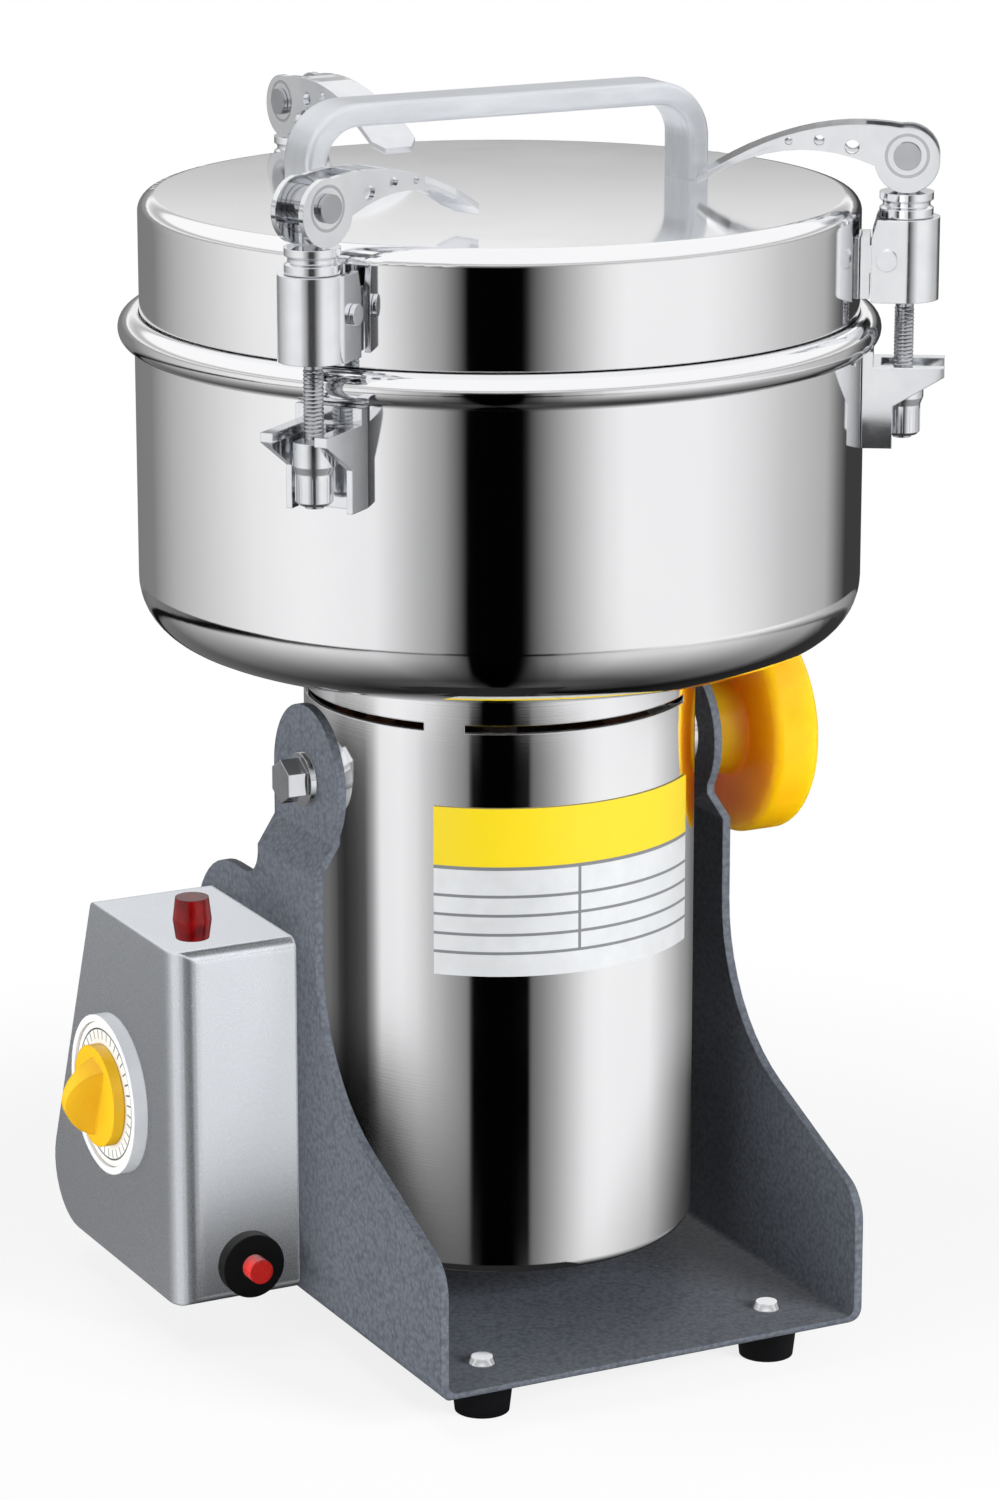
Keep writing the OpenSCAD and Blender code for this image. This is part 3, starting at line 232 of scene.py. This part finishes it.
# mirror-polished sheet: faint spinning marks round the axis and a little smear, flat tops duller than walls
mirrorSheet = {
    "tint": rgb(250, 250, 251), "dull": rgb(245, 245, 247), "rough": (0.045, 0.085), "smear": 14.0,
    "flatFrom": 0.95, "flatRough": 0.015, "rings": 2600.0, "bump": 0.05, "bumpHigh": 0.02 * mm,
    "edge": 0.6 * mm,
}


def makeMirrorSheet(name):
    facts = mirrorSheet
    made, p, skin = newFinish(name, {"Metallic": 1.0})
    where = p.place(axisAt)
    x, y, z = p.parts(where)
    radius = p.maths("SQRT", x * x + y * y)
    rings = p.node("ShaderNodeCombineXYZ", None, {0: radius * facts["rings"], 1: z * facts["rings"]})
    marks = p.noise(rings, 1.0, 2.0)
    smear = p.noise(where, facts["smear"], 4.0)
    up = p.parts(p.node("ShaderNodeNewGeometry", out="Normal"))[2]
    wire(p, skin, colour=p.mottle(smear, facts["dull"], facts["tint"]),
         rough=p.spread(smear, *facts["rough"]) + (up > facts["flatFrom"]) * facts["flatRough"],
         normal=p.bump(marks, facts["bump"], facts["bumpHigh"], p.rounded(facts["edge"])))
    return made


# small bright fittings: tumbled and plated, with fine scratches; bolts are oily and darker,
# and a lever has a ring cut round its pin
fittings = {
    "tint": rgb(244, 245, 247), "dull": rgb(226, 228, 232), "oily": rgb(120, 122, 126), "metal": 0.96,
    "rough": (0.06, 0.14), "cloud": 60.0,
    "scratch": 900.0, "scratchAlong": (1.0, 1.0, 0.08), "scratchHigh": 0.15,
    "bump": 0.25, "bumpHigh": 0.1 * mm, "edge": 0.4 * mm, "boltEdge": 0.2 * mm, "ribEdge": 0.06 * mm,
    "boltOil": 0.55, "oilSoft": 0.15,
    "pinOver": 16.4 * mm, "ring": (9.4 * mm, 10.1 * mm), "ringDeep": 4.0, "ringDark": 0.45,
}


def makeFittings(name, edge, pin=None, oil=0.0):
    facts = fittings
    made, p, skin = newFinish(name, {"Metallic": facts["metal"]})
    where = p.place()
    scratch = p.noise(p.vector("MULTIPLY", where, facts["scratchAlong"]), facts["scratch"], 2.0)
    cloud = p.noise(where, facts["cloud"])
    colour = p.mottle(cloud, facts["dull"], facts["tint"])
    height = scratch * facts["scratchHigh"]
    if oil:
        film = p.spread(cloud, oil - facts["oilSoft"], oil + facts["oilSoft"])
        colour = p.blend(film, colour, facts["oily"])
    if pin:
        ring = p.band(p.distance(p.place(pin)), *facts["ring"])
        height = height - ring * facts["ringDeep"]
        colour = p.blend(ring * facts["ringDark"], colour, facts["oily"])
    wire(p, skin, colour=colour, rough=p.spread(cloud, *facts["rough"]),
         normal=p.bump(height, facts["bump"], facts["bumpHigh"], p.rounded(edge)))
    return made


# hammered paint of the stand: rounded dimples in a grey-blue lacquer
hammered = {
    "deep": rgb(78, 82, 90), "high": rgb(105, 110, 118), "metal": 0.0, "shine": 0.1, "rough": (0.34, 0.52),
    "cell": 620.0, "cellSoft": 0.6, "cellHigh": 0.7, "cellTone": 0.6, "swirl": 380.0, "swirlHigh": 0.6,
    "flake": 2600.0, "flakeTone": 0.5, "bump": 0.55, "bumpHigh": 0.16 * mm, "edge": 0.7 * mm,
}


def makeHammered(name):
    facts = hammered
    made, p, skin = newFinish(name, {"Metallic": facts["metal"], "Specular IOR Level": facts["shine"]})
    where = p.place()
    cells = p.node("ShaderNodeTexVoronoi", {"feature": "SMOOTH_F1"},
                   {"Vector": where, "Scale": facts["cell"], "Smoothness": facts["cellSoft"]}, "Distance")
    swirl = p.noise(where, facts["swirl"])
    flake = p.noise(where, facts["flake"], 1.0)
    height = cells * facts["cellHigh"] + swirl * facts["swirlHigh"]
    tone = cells * facts["cellTone"] + flake * facts["flakeTone"]
    wire(p, skin, colour=p.mottle(tone, facts["high"], facts["deep"]),
         rough=p.spread(swirl, *facts["rough"]),
         normal=p.bump(height, facts["bump"], facts["bumpHigh"], p.rounded(facts["edge"])))
    return made


# smooth silver paint of the control box
boxPaint = {
    "light": rgb(247, 250, 255), "dark": rgb(240, 244, 250), "metal": 0.93, "coat": 0.1, "coatRough": 0.25,
    "rough": (0.26, 0.31), "flake": 3200.0, "flakeHigh": 0.06, "peel": 260.0,
    "bump": 0.05, "bumpHigh": 0.1 * mm, "edge": 1.2 * mm,
}


def makeBoxPaint(name):
    facts = boxPaint
    made, p, skin = newFinish(name, {"Metallic": facts["metal"], "Coat Weight": facts["coat"],
                                     "Coat Roughness": facts["coatRough"]})
    where = p.place()
    flake = p.noise(where, facts["flake"], 1.0)
    peel = p.noise(where, facts["peel"], 2.0)
    dress(p, skin, facts, flake, flake, peel + flake * facts["flakeHigh"])
    return made


# drawn flat bar of the handle: grain along its length
barAlloy = {
    "light": rgb(232, 235, 239), "dark": rgb(214, 217, 222), "metal": 0.85, "rough": (0.30, 0.42),
    "cloud": 40.0, "grain": 2400.0, "grainAlong": (0.02, 1.0, 0.06),
    "bump": 0.10, "bumpHigh": 0.1 * mm, "edge": 1.0 * mm,
}


def makeBarAlloy(name):
    facts = barAlloy
    made, p, skin = newFinish(name, {"Metallic": facts["metal"]})
    where = p.place()
    grain = p.noise(p.vector("MULTIPLY", where, facts["grainAlong"]), facts["grain"])
    cloud = p.noise(where, facts["cloud"])
    dress(p, skin, facts, grain, cloud, grain)
    return made


# moulded plastic and rubber: one body colour, slight moulding texture, softened edges;
# soak is how far light goes into the amber lock knob
usualMoulding = {
    "cloud": 70.0, "grain": 900.0, "bump": 0.06, "bumpHigh": 0.1 * mm,
    "coat": 0.0, "coatRough": 0.12, "shine": 0.5, "soak": {},
}
mouldings = {
    "yellow_moulding": {"light": rgb(242, 190, 8), "dark": rgb(235, 180, 4), "rough": (0.26, 0.36),
                        "edge": 1.2 * mm, "coat": 0.15},
    "amber_moulding": {"light": rgb(242, 175, 6), "dark": rgb(235, 164, 3), "rough": (0.28, 0.38),
                       "edge": 1.2 * mm, "coat": 0.1,
                       "soak": {"Subsurface Weight": 1.0, "Subsurface Scale": 30 * mm,
                                "Subsurface Radius": (1.0, 0.85, 0.15)}},
    "red_moulding": {"light": rgb(232, 40, 34), "dark": rgb(214, 26, 24), "rough": (0.20, 0.30),
                     "edge": 0.8 * mm, "coat": 0.15},
    "black_moulding": {"light": rgb(13, 14, 15), "dark": rgb(8, 9, 10), "rough": (0.36, 0.50),
                       "edge": 0.8 * mm, "grain": 1400.0, "shine": 0.2},
    "foot_rubber": {"light": rgb(15, 15, 17), "dark": rgb(9, 9, 11), "rough": (0.60, 0.80),
                    "edge": 1.0 * mm, "grain": 1700.0, "bump": 0.2, "shine": 0.15},
    "seal_ring": {"light": rgb(226, 226, 220), "dark": rgb(212, 212, 206), "rough": (0.45, 0.6),
                  "edge": 0.4 * mm},
    "white_moulding": {"light": rgb(238, 238, 232), "dark": rgb(226, 226, 220), "rough": (0.35, 0.5),
                       "edge": 0.5 * mm},
    "bezel_moulding": {"light": rgb(238, 240, 243), "dark": rgb(228, 231, 235), "rough": (0.25, 0.4),
                       "edge": 0.6 * mm},
}


def makeMoulding(name):
    facts = {**usualMoulding, **mouldings[name]}
    made, p, skin = newFinish(name, {"Coat Weight": facts["coat"], "Coat Roughness": facts["coatRough"],
                                     "Specular IOR Level": facts["shine"], **facts["soak"]})
    where = p.place()
    cloud = p.noise(where, facts["cloud"])
    fine = p.noise(where, facts["grain"], 2.0)
    dress(p, skin, facts, cloud, fine, fine)
    return made


# printed plate: yellow band above empty ruled lines, no lettering;
# heights in mm over the table, angles in degrees
labelPrint = {
    "yellow": rgb(206, 182, 6), "silver": rgb(206, 208, 210), "worn": rgb(196, 198, 200), "metal": 0.25,
    "ink": rgb(92, 94, 98), "inkShare": 0.85, "coat": 0.3, "coatRough": 0.1, "rough": (0.28, 0.38),
    "fade": 120.0,
    "bandLow": 172.3, "bandRule": 1.2, "lines": (161.7, 155.2, 148.7, 142.4), "lineWidth": 1.0,
    "divider": -94.2, "dividerWidth": 0.9,
}


def makeLabelPrint(name):
    facts = labelPrint
    made, p, skin = newFinish(name, {"Coat Weight": facts["coat"], "Coat Roughness": facts["coatRough"]})
    where = p.place((axisAt.x, axisAt.y, 0.0))
    x, y, z = p.parts(where)
    height = z / mm
    angle = p.degrees(y, x)
    yellow = height > facts["bandLow"]
    rule = p.band(height, facts["bandLow"] - facts["bandRule"], facts["bandLow"])
    for line in facts["lines"]:
        rule = p.maths("MAXIMUM", rule, p.band(height, line, line + facts["lineWidth"]))
    upright = p.band(angle, facts["divider"], facts["divider"] + facts["dividerWidth"])
    upright = upright * p.band(height, facts["lines"][-1], facts["bandLow"])
    ink = p.maths("MAXIMUM", rule, upright)
    fade = p.noise(where, facts["fade"])
    ground = p.mottle(fade, facts["worn"], facts["silver"])
    ground = p.blend(ink * facts["inkShare"], ground, facts["ink"])
    wire(p, skin, colour=p.blend(yellow, ground, facts["yellow"]), metal=(1.0 - yellow) * facts["metal"],
         rough=p.spread(fade, *facts["rough"]))
    return made


# timer dial: white with plain minute ticks; radii in mm
dialPrint = {
    "light": rgb(240, 240, 236), "worn": rgb(228, 228, 224), "ink": rgb(70, 72, 76),
    "coat": 0.2, "coatRough": 0.15, "rough": (0.32, 0.42), "fade": 90.0, "edge": 0.5 * mm,
    "ticks": 36, "tick": (0.40, 0.56), "tickRadius": (19.0, 22.0), "ringRadius": (22.2, 22.8),
}


def makeDialPrint(name, centre):
    facts = dialPrint
    made, p, skin = newFinish(name, {"Coat Weight": facts["coat"], "Coat Roughness": facts["coatRough"]})
    where = p.place(centre)
    _, across, up = p.parts(where)
    radius = p.maths("SQRT", across * across + up * up) / mm
    turn = p.degrees(up, across) * (facts["ticks"] / 360)
    share = p.maths("FRACT", turn + facts["ticks"])
    tick = p.band(share, *facts["tick"]) * p.band(radius, *facts["tickRadius"])
    ink = p.maths("MAXIMUM", tick, p.band(radius, *facts["ringRadius"]))
    fade = p.noise(where, facts["fade"])
    ground = p.mottle(fade, facts["worn"], facts["light"])
    wire(p, skin, colour=p.blend(ink, ground, facts["ink"]), rough=p.spread(fade, *facts["rough"]),
         normal=p.rounded(facts["edge"]))
    return made


# deep red lens of the lamp
lensRed = {
    "light": rgb(128, 7, 9), "dark": rgb(72, 2, 4), "coat": 0.1, "coatRough": 0.04, "shine": 0.3,
    "rough": (0.10, 0.18), "cloud": 220.0, "ribs": 5200.0,
    "bump": 0.08, "bumpHigh": 0.1 * mm, "edge": 0.6 * mm,
}


def makeLensRed(name):
    facts = lensRed
    made, p, skin = newFinish(name, {"Coat Weight": facts["coat"], "Coat Roughness": facts["coatRough"],
                                     "Specular IOR Level": facts["shine"]})
    where = p.place()
    x, y, _ = p.parts(where)
    waves = p.maths("SINE", (x + y) * facts["ribs"])
    cloud = p.noise(where, facts["cloud"], 2.0)
    dress(p, skin, facts, cloud, cloud, waves)
    return made


# inner pieces of the motor: cast, laminated or wound metal in fine layers
innerMetal = {
    "rough": (0.35, 0.6), "cloud": 160.0, "seamHigh": 0.5,
    "bump": 0.25, "bumpHigh": 0.2 * mm, "edge": 0.4 * mm,
    "cast_plate": {"light": rgb(176, 178, 180), "dark": rgb(150, 152, 154), "metal": 0.8, "layer": 4.0 * mm},
    "laminated_core": {"light": rgb(92, 92, 94), "dark": rgb(66, 66, 68), "metal": 0.7, "layer": 0.7 * mm},
    "copper_wire": {"light": rgb(196, 120, 70), "dark": rgb(150, 84, 44), "metal": 0.9, "layer": 1.1 * mm},
}


def makeInnerMetal(name):
    facts = {**innerMetal, **innerMetal[name]}
    made, p, skin = newFinish(name, {"Metallic": facts["metal"]})
    where = p.place()
    z = p.parts(where)[2]
    seams = p.maths("SINE", z * (2 * math.pi / facts["layer"]))
    cloud = p.noise(where, facts["cloud"], 4.0)
    dress(p, skin, facts, cloud, cloud, seams * facts["seamHigh"] + cloud)
    return made


fittingSteel = makeFittings("fitting_steel", fittings["edge"])
boltSteel = makeFittings("bolt_steel", fittings["boltEdge"], oil=fittings["boltOil"])
ribSteel = makeFittings("rib_steel", fittings["ribEdge"])
skins = {
    makeMirrorSheet("mirror_steel"): ["motor_barrel", "bowl", "lid"],
    fittingSteel: ["bowl_catches", "lid_brackets", "hinge_rivets", "foot_screws", "box_screws", "pivot_bolt",
                   "pivot_washer", "trunnion_bosses", "lock_washer", "lock_stud", "upper_bearing",
                   "lower_bearing", "motor_shaft", "bowl_screws", "blade_lower", "blade_upper", "blade_nut",
                   "handle_screws"],
    boltSteel: [],
    makeHammered("hammered_paint_skin"): ["stand_frame"],
    makeBoxPaint("silver_paint_skin"): ["control_box"],
    makeBarAlloy("handle_bar"): ["lid_handle"],
    makeMoulding("yellow_moulding"): ["timer_knob"],
    makeMoulding("amber_moulding"): ["lock_knob"],
    makeMoulding("red_moulding"): ["reset_button"],
    makeMoulding("black_moulding"): ["reset_body", "cord_gland", "brush_gear", "cooling_fan"],
    makeMoulding("foot_rubber"): ["feet", "floor_seal"],
    makeMoulding("seal_ring"): ["lid_gasket"],
    makeMoulding("white_moulding"): ["timer_body"],
    makeMoulding("bezel_moulding"): ["timer_bezel"],
    makeInnerMetal("cast_plate"): ["top_flange", "lower_plate"],
    makeInnerMetal("laminated_core"): ["stator_core", "rotor_core"],
    makeInnerMetal("copper_wire"): ["stator_coils", "commutator"],
    makeLabelPrint("label_print"): ["label_plate"],
    makeDialPrint("dial_print", middle("timer_dial")): ["timer_dial"],
    makeLensRed("lamp_red_skin"): ["lamp_lens"],
}
for latch in "abc":
    skins[fittingSteel] += [f"latch_{latch}_{piece}" for piece in ("housing", "collar", "nut")]
    skins[boltSteel].append(f"latch_{latch}_bolt")
    pinAt = middle(f"latch_{latch}_collar") + Vector((0, 0, fittings["pinOver"]))
    skins[makeFittings(f"lever_steel_{latch}", fittings["edge"], pinAt)] = [f"latch_{latch}_lever"]
for skin, names in skins.items():
    for name in names:
        for slot in nodes[name].material_slots:
            slot.material = skin
print("finishes set on", sum(len(names) for names in skins.values()), "nodes")


def addPiece(name, points, faces, skin, like):
    mesh = bpy.data.meshes.new(name)
    mesh.from_pydata(points, [], faces)
    mesh.materials.append(skin)
    made = bpy.data.objects.new(name, mesh)
    bpy.context.scene.collection.objects.link(made)
    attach(made, body_of(nodes[like])[0])


# widest distance from an upright axis among a node's points between two heights
def reach(name, centre, low, high):
    points = [v.co for v in nodes[name].data.vertices if low <= v.co.z <= high]
    return max(math.hypot(q.x - centre.x, q.y - centre.y) for q in points)


# a point at a radius and a turn round an upright axis
def onRing(centre, radius, turn, z):
    return (centre.x + radius * math.cos(turn), centre.y + radius * math.sin(turn), z)


# thread of a latch bolt: one ridge wound from the nut up to the housing
thread = {"pitch": 1.25 * mm, "high": 0.30 * mm, "root": 0.05 * mm, "steps": 24, "overNut": 0.6 * mm,
          "underHousing": 1.4 * mm}


def makeThread(latch):
    bolt, nut, housing = (f"latch_{latch}_{piece}" for piece in ("bolt", "nut", "housing"))
    centre = middle(nut)
    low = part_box(nut)[1].z + thread["overNut"]
    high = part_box(housing)[0].z - thread["underHousing"]
    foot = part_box(bolt)[0].z
    shank = reach(bolt, centre, foot, foot + mm)
    root = shank - thread["root"]
    pitch, steps = thread["pitch"], thread["steps"]
    half = pitch / 2
    count = int((high - low - 2 * half) / pitch * steps)
    points, faces = [], []
    for k in range(count + 1):
        turn = 2 * math.pi * k / steps
        z = low + half + pitch * k / steps
        fade = min(1.0, k / steps, (count - k) / steps)
        for radius, lift in ((root, -half), (shank + thread["high"] * fade, 0.0), (root, half)):
            points.append(onRing(centre, radius, turn, z + lift))
    for k in range(count):
        a, b = 3 * k, 3 * k + 3
        faces += [(a + i, b + i, b + (i + 1) % 3, a + (i + 1) % 3) for i in range(3)]
    faces += [(0, 1, 2), (3 * count + 2, 3 * count + 1, 3 * count)]
    addPiece(f"latch_{latch}_thread", points, faces, boltSteel, bolt)


# grip of a latch nut: upright ribs round its waist
ribs = {"count": 30, "high": 0.42 * mm, "root": 0.10 * mm, "fill": 0.7, "inset": 0.7 * mm,
        "length": 8.6 * mm}


def makeRibs(latch):
    nut = f"latch_{latch}_nut"
    centre = middle(nut)
    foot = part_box(nut)[0].z
    waist = reach(nut, centre, foot, foot + mm)
    root, tip = waist - ribs["root"], waist + ribs["high"]
    low, high = foot + ribs["inset"], foot + ribs["inset"] + ribs["length"]
    half = math.pi / ribs["count"] * ribs["fill"]
    rows = ((low, waist), (low + ribs["high"], tip), (high - ribs["high"], tip), (high, waist))
    points, faces = [], []
    for k in range(ribs["count"]):
        turn = 2 * math.pi * k / ribs["count"]
        first = len(points)
        for z, crest in rows:
            for side, radius in ((-half, root), (0.0, crest), (half, root)):
                points.append(onRing(centre, radius, turn + side, z))
        for row in range(3):
            a, b = first + 3 * row, first + 3 * row + 3
            faces += [(a + i, a + (i + 1) % 3, b + (i + 1) % 3, b + i) for i in range(3)]
        faces += [(first + 2, first + 1, first), (first + 9, first + 10, first + 11)]
    addPiece(f"latch_{latch}_ribs", points, faces, ribSteel, nut)


for latch in "abc":
    makeThread(latch)
    makeRibs(latch)
print("threads and ribs made")


# camera as the photograph was taken: lengths in mm, angles in degrees, focal and long side in pixels
shot = {"turn": -27.07, "pitch": 15.19, "distance": 1714.88, "target": 193.9, "focal": 5092.1, "long": 1500,
        "sensor": 36.0, "clip": 50}


def makeCamera():
    a, e = math.radians(shot["turn"]), math.radians(shot["pitch"])
    away = Vector((math.sin(a) * math.cos(e), -math.cos(a) * math.cos(e), math.sin(e)))
    eye = bpy.data.cameras.new("camera")
    eye.sensor_fit = "VERTICAL"
    eye.sensor_height = shot["sensor"]
    eye.lens = shot["focal"] / shot["long"] * shot["sensor"]
    eye.clip_start = shot["clip"] * mm
    made = bpy.data.objects.new("camera", eye)
    bpy.context.scene.collection.objects.link(made)
    made.location = Vector((axisAt.x, axisAt.y, shot["target"] * mm)) + away * shot["distance"] * mm
    made.rotation_euler = (-away).to_track_quat("-Z", "Y").to_euler()
    bpy.context.scene.camera = made
    return away


toCamera = makeCamera()
# level directions towards the camera and to its right
ahead = Vector((toCamera.x, toCamera.y, 0)).normalized()
aside = Vector((-ahead.y, ahead.x, 0))
print("camera placed")


# studio: how bright the surroundings are, by angle away from the camera, as polished steel sees them.
# walls are what the bowl and lid see, low is what the barrel sees below them, deep is the table under the
# bowl, dusk is the soft shade that the two side plates throw on the barrel's foot, sky is seen by what
# faces up; From and To are steepness, from 0 level to 1 upright
studio = {
    "walls": [(-180, 120), (-142, 128), (-124, 178), (-100, 214), (-83, 236), (-62, 246), (-39, 240),
              (-32, 214), (-25, 184), (-18, 156), (-12.5, 96), (-10, 2), (8, 2), (11, 96), (19, 164),
              (26, 202), (33, 232), (40, 246), (68, 244), (84, 228), (102, 200), (125, 176), (134, 120),
              (142, 60), (180, 60)],
    "low": [(-180, 90), (-150, 120), (-122, 110), (-104, 45), (-94.5, 64), (-86, 85), (-80, 160),
            (-74, 238), (-60, 242), (-49.5, 227), (-39.7, 195), (-30.2, 165), (-21, 137), (-18, 118),
            (-16.5, 2), (17, 2), (18.8, 104), (24.6, 130), (34, 168), (43.6, 206), (53.5, 237), (64, 247),
            (100, 244), (115, 212), (135, 168), (160, 117), (180, 100)],
    "lowFrom": -0.252, "lowTo": -0.257,
    "deepFrom": -0.362, "deepTo": -0.385, "deepShade": 0.22,
    "floorFrom": -0.40, "floorTo": -0.92, "floorShade": 0.90,
    "dusk": [{"turn": -57.0, "slope": 1400.0, "soft": 27.0, "floor": 0.03},
             {"turn": 140.0, "slope": -1634.0, "soft": -40.0, "floor": 0.20}],
    "duskFrom": 0.3127, "duskTo": 0.3239,
    "sky": [(0.0, 190), (0.120, 150), (0.145, 158), (0.152, 178), (0.158, 240), (0.164, 255), (0.185, 250),
            (0.22, 215), (0.28, 188), (0.32, 196), (0.36, 255), (1.0, 255)],
    "skyFrom": 0.02, "skyTo": 0.138,
    "fill": (0.14, 0.14, 0.1428, 1),
}


def makeWorld():
    world = bpy.data.worlds.new("studio")
    bpy.context.scene.world = world
    world.use_nodes = True
    p = Paint(world.node_tree)
    x, y, z = p.parts(p.node("ShaderNodeTexCoord", out="Generated"))
    down = 0.0 - z
    angle = p.degrees(x * aside.x + y * aside.y, x * ahead.x + y * ahead.y)
    rows = []
    for row in ("walls", "low"):
        stops = [((a + 180) / 360, grey(v)) for a, v in studio[row]]
        rows.append(p.node("ShaderNodeValToRGB", {"stops": stops}, {0: angle / 360 + 0.5}))
    walls, low = rows
    late = p.ramp(down, studio["duskFrom"], studio["duskTo"])
    for dusk in studio["dusk"]:
        edge = (down - studio["duskTo"]) * dusk["slope"] + dusk["turn"]
        shade = p.ramp(angle - edge, dusk["soft"], -dusk["soft"], 0.0, 1.0 - dusk["floor"])
        low = p.blend(shade * late, low, black)
    sink = p.ramp(z, studio["lowFrom"], studio["lowTo"])
    deep = p.ramp(z, studio["deepFrom"], studio["deepTo"])
    under = p.ramp(z, studio["floorFrom"], studio["floorTo"])
    walls = p.blend(sink * (1.0 - deep), walls, low)
    walls = p.blend(deep * studio["deepShade"], walls, black)
    walls = p.blend(under * studio["floorShade"], walls, black)
    sky = p.node("ShaderNodeValToRGB", {"stops": [(a, grey(v)) for a, v in studio["sky"]]}, {0: z})
    seen = p.blend(p.ramp(z, studio["skyFrom"], studio["skyTo"]), walls, sky)
    rays = p.node("ShaderNodeLightPath").socket.node.outputs
    colour = p.blend(Val(p, rays["Is Glossy Ray"]), studio["fill"], seen)
    colour = p.blend(Val(p, rays["Is Camera Ray"]), colour, white)
    back = p.node("ShaderNodeBackground", None, {0: colour})
    p.node("ShaderNodeOutputWorld", None, {0: back}, None)


makeWorld()
print("studio made")


# lamps light dull surfaces only, polished steel sees the studio instead; places and sizes in metres
lamps = {
    "key": {"at": (0.60, -1.25, 0.55), "wide": 0.6, "tall": 0.6, "watts": 25},
    "left": {"at": (-1.35, 0.00, 0.22), "wide": 2.2, "tall": 0.6, "watts": 26},
    "top": {"at": (-0.5, 0.1, 1.6), "wide": 0.8, "tall": 0.6, "watts": 5},
}
lampAim = Vector((0, 0, 0.2))
# a small soft box in front of latch b, seen only in the pieces it lights: their flat faces would
# mirror the dark wall otherwise
softBox = {
    "aside": 0.085, "ahead": 0.130, "height": 0.351, "wide": 0.100, "tall": 0.122, "watts": 0.033,
    "lights": ("latch_b_housing", "latch_b_collar", "latch_b_bolt", "latch_b_lever", "latch_b_nut",
               "bowl_catches", "lid_brackets", "hinge_rivets"),
}


def addLamp(name, at, direction, facts):
    light = bpy.data.lights.new(name, "AREA")
    light.shape = "RECTANGLE"
    light.size = facts["wide"]
    light.size_y = facts["tall"]
    light.energy = facts["watts"]
    made = bpy.data.objects.new(name, light)
    bpy.context.scene.collection.objects.link(made)
    made.location = at
    made.rotation_euler = direction.to_track_quat("-Z", "Y").to_euler()
    return made


def makeSoftBox():
    at = Vector((axisAt.x, axisAt.y, softBox["height"]))
    at += aside * softBox["aside"] + ahead * softBox["ahead"]
    made = addLamp("soft_box", at, -ahead, softBox)
    made.visible_camera = made.visible_diffuse = made.visible_transmission = False
    lit = bpy.data.collections.new("soft_box_lights")
    for name in softBox["lights"]:
        lit.objects.link(nodes[name])
    made.light_linking.receiver_collection = lit


for name, facts in lamps.items():
    at = Vector(facts["at"])
    addLamp(name, at, lampAim - at, facts).visible_glossy = False
makeSoftBox()
print("lamps placed")


# a dark card on the table, seen in reflections only, is painted shade: it stands in for the shaded side of
# the table and deepens the foot of the barrel; corners from its axis
paintedShadeCard = {
    "corners": [(-0.125, -0.025), (-0.125, -0.074), (-0.104, -0.100), (-0.080, -0.120), (-0.050, -0.135),
                (-0.015, -0.143), (0.010, -0.143), (0.010, -0.025)],
    "drop": 0.4 * mm, "level": 0.02, "paler": 1.04, "cloud": 8.0,
}


def makePaintedShadeCard():
    points = [(axisAt.x + x, axisAt.y + y, -paintedShadeCard["drop"]) for x, y in paintedShadeCard["corners"]]
    mesh = bpy.data.meshes.new("painted_shade_card")
    mesh.from_pydata(points, [], [tuple(range(len(points)))])
    card = bpy.data.objects.new("painted_shade_card", mesh)
    bpy.context.scene.collection.objects.link(card)
    card.visible_camera = card.visible_diffuse = card.visible_shadow = card.visible_transmission = False
    made, p, skin = newFinish("painted_shade_card", {"Base Color": black, "Roughness": 1.0, "Specular IOR Level": 0.0,
                                            "Emission Strength": 1.0})
    # its faint glow sets how dark the painted shade is, with a little cloud in it
    level, paler = paintedShadeCard["level"], paintedShadeCard["level"] * paintedShadeCard["paler"]
    cloud = p.noise(p.place(), paintedShadeCard["cloud"], 2.0)
    wire(p, skin, glow=p.blend(cloud, (level, level, level, 1), (paler, paler, paler, 1)))
    mesh.materials.append(made)


makePaintedShadeCard()

# reflections leave out the stand and what is on it, and the barrel sends no light on to dull surfaces:
# both keep the barrel's foot as soft as in the photograph
standPieces = ("stand_frame", "feet", "foot_screws", "box_screws", "control_box", "timer_body", "timer_dial",
               "timer_bezel", "timer_knob", "lamp_lens", "reset_body", "reset_button", "cord_gland")
for name in standPieces:
    nodes[name].visible_glossy = False
nodes["motor_barrel"].visible_diffuse = False


# floor: white to the camera, keeps a soft shadow close to the feet; sizes in metres
ground = {"radius": 6.0, "sides": 96, "drop": 0.2 * mm, "light": grey(254), "dark": grey(250), "rough": 0.9,
          "cloud": 3.0, "shade": 0.82, "near": 0.20, "far": 0.42}


def makeFloor():
    grid = bmesh.new()
    bmesh.ops.create_circle(grid, cap_ends=True, segments=ground["sides"], radius=ground["radius"])
    mesh = bpy.data.meshes.new("floor")
    grid.to_mesh(mesh)
    grid.free()
    floor = bpy.data.objects.new("floor", mesh)
    bpy.context.scene.collection.objects.link(floor)
    floor.location.z = -ground["drop"]
    floor.visible_glossy = False
    made, p, skin = newFinish("floor_white", {"Roughness": ground["rough"], "Specular IOR Level": 0.0})
    where = p.place()
    wire(p, skin, colour=p.blend(p.noise(where, ground["cloud"], 2.0), ground["dark"], ground["light"]))
    clear = p.node("ShaderNodeMapRange", {"clamp": True, "interpolation_type": "SMOOTHSTEP"},
                   {0: p.distance(where), 1: ground["near"], 2: ground["far"], 3: ground["shade"], 4: 1.0})
    seen = p.node("ShaderNodeLightPath", out="Is Camera Ray")
    glow = p.node("ShaderNodeEmission", None, {0: white, 1: 1.0})
    mixed = p.node("ShaderNodeMixShader", None, {0: clear * seen, 1: Val(p, skin.outputs[0]), 2: glow})
    p.tree.links.new(mixed.socket, p.tree.nodes["Material Output"].inputs[0])
    mesh.materials.append(made)


makeFloor()
print("card and floor placed")

scene = bpy.context.scene
scene.view_settings.view_transform = "Standard"

print("done")
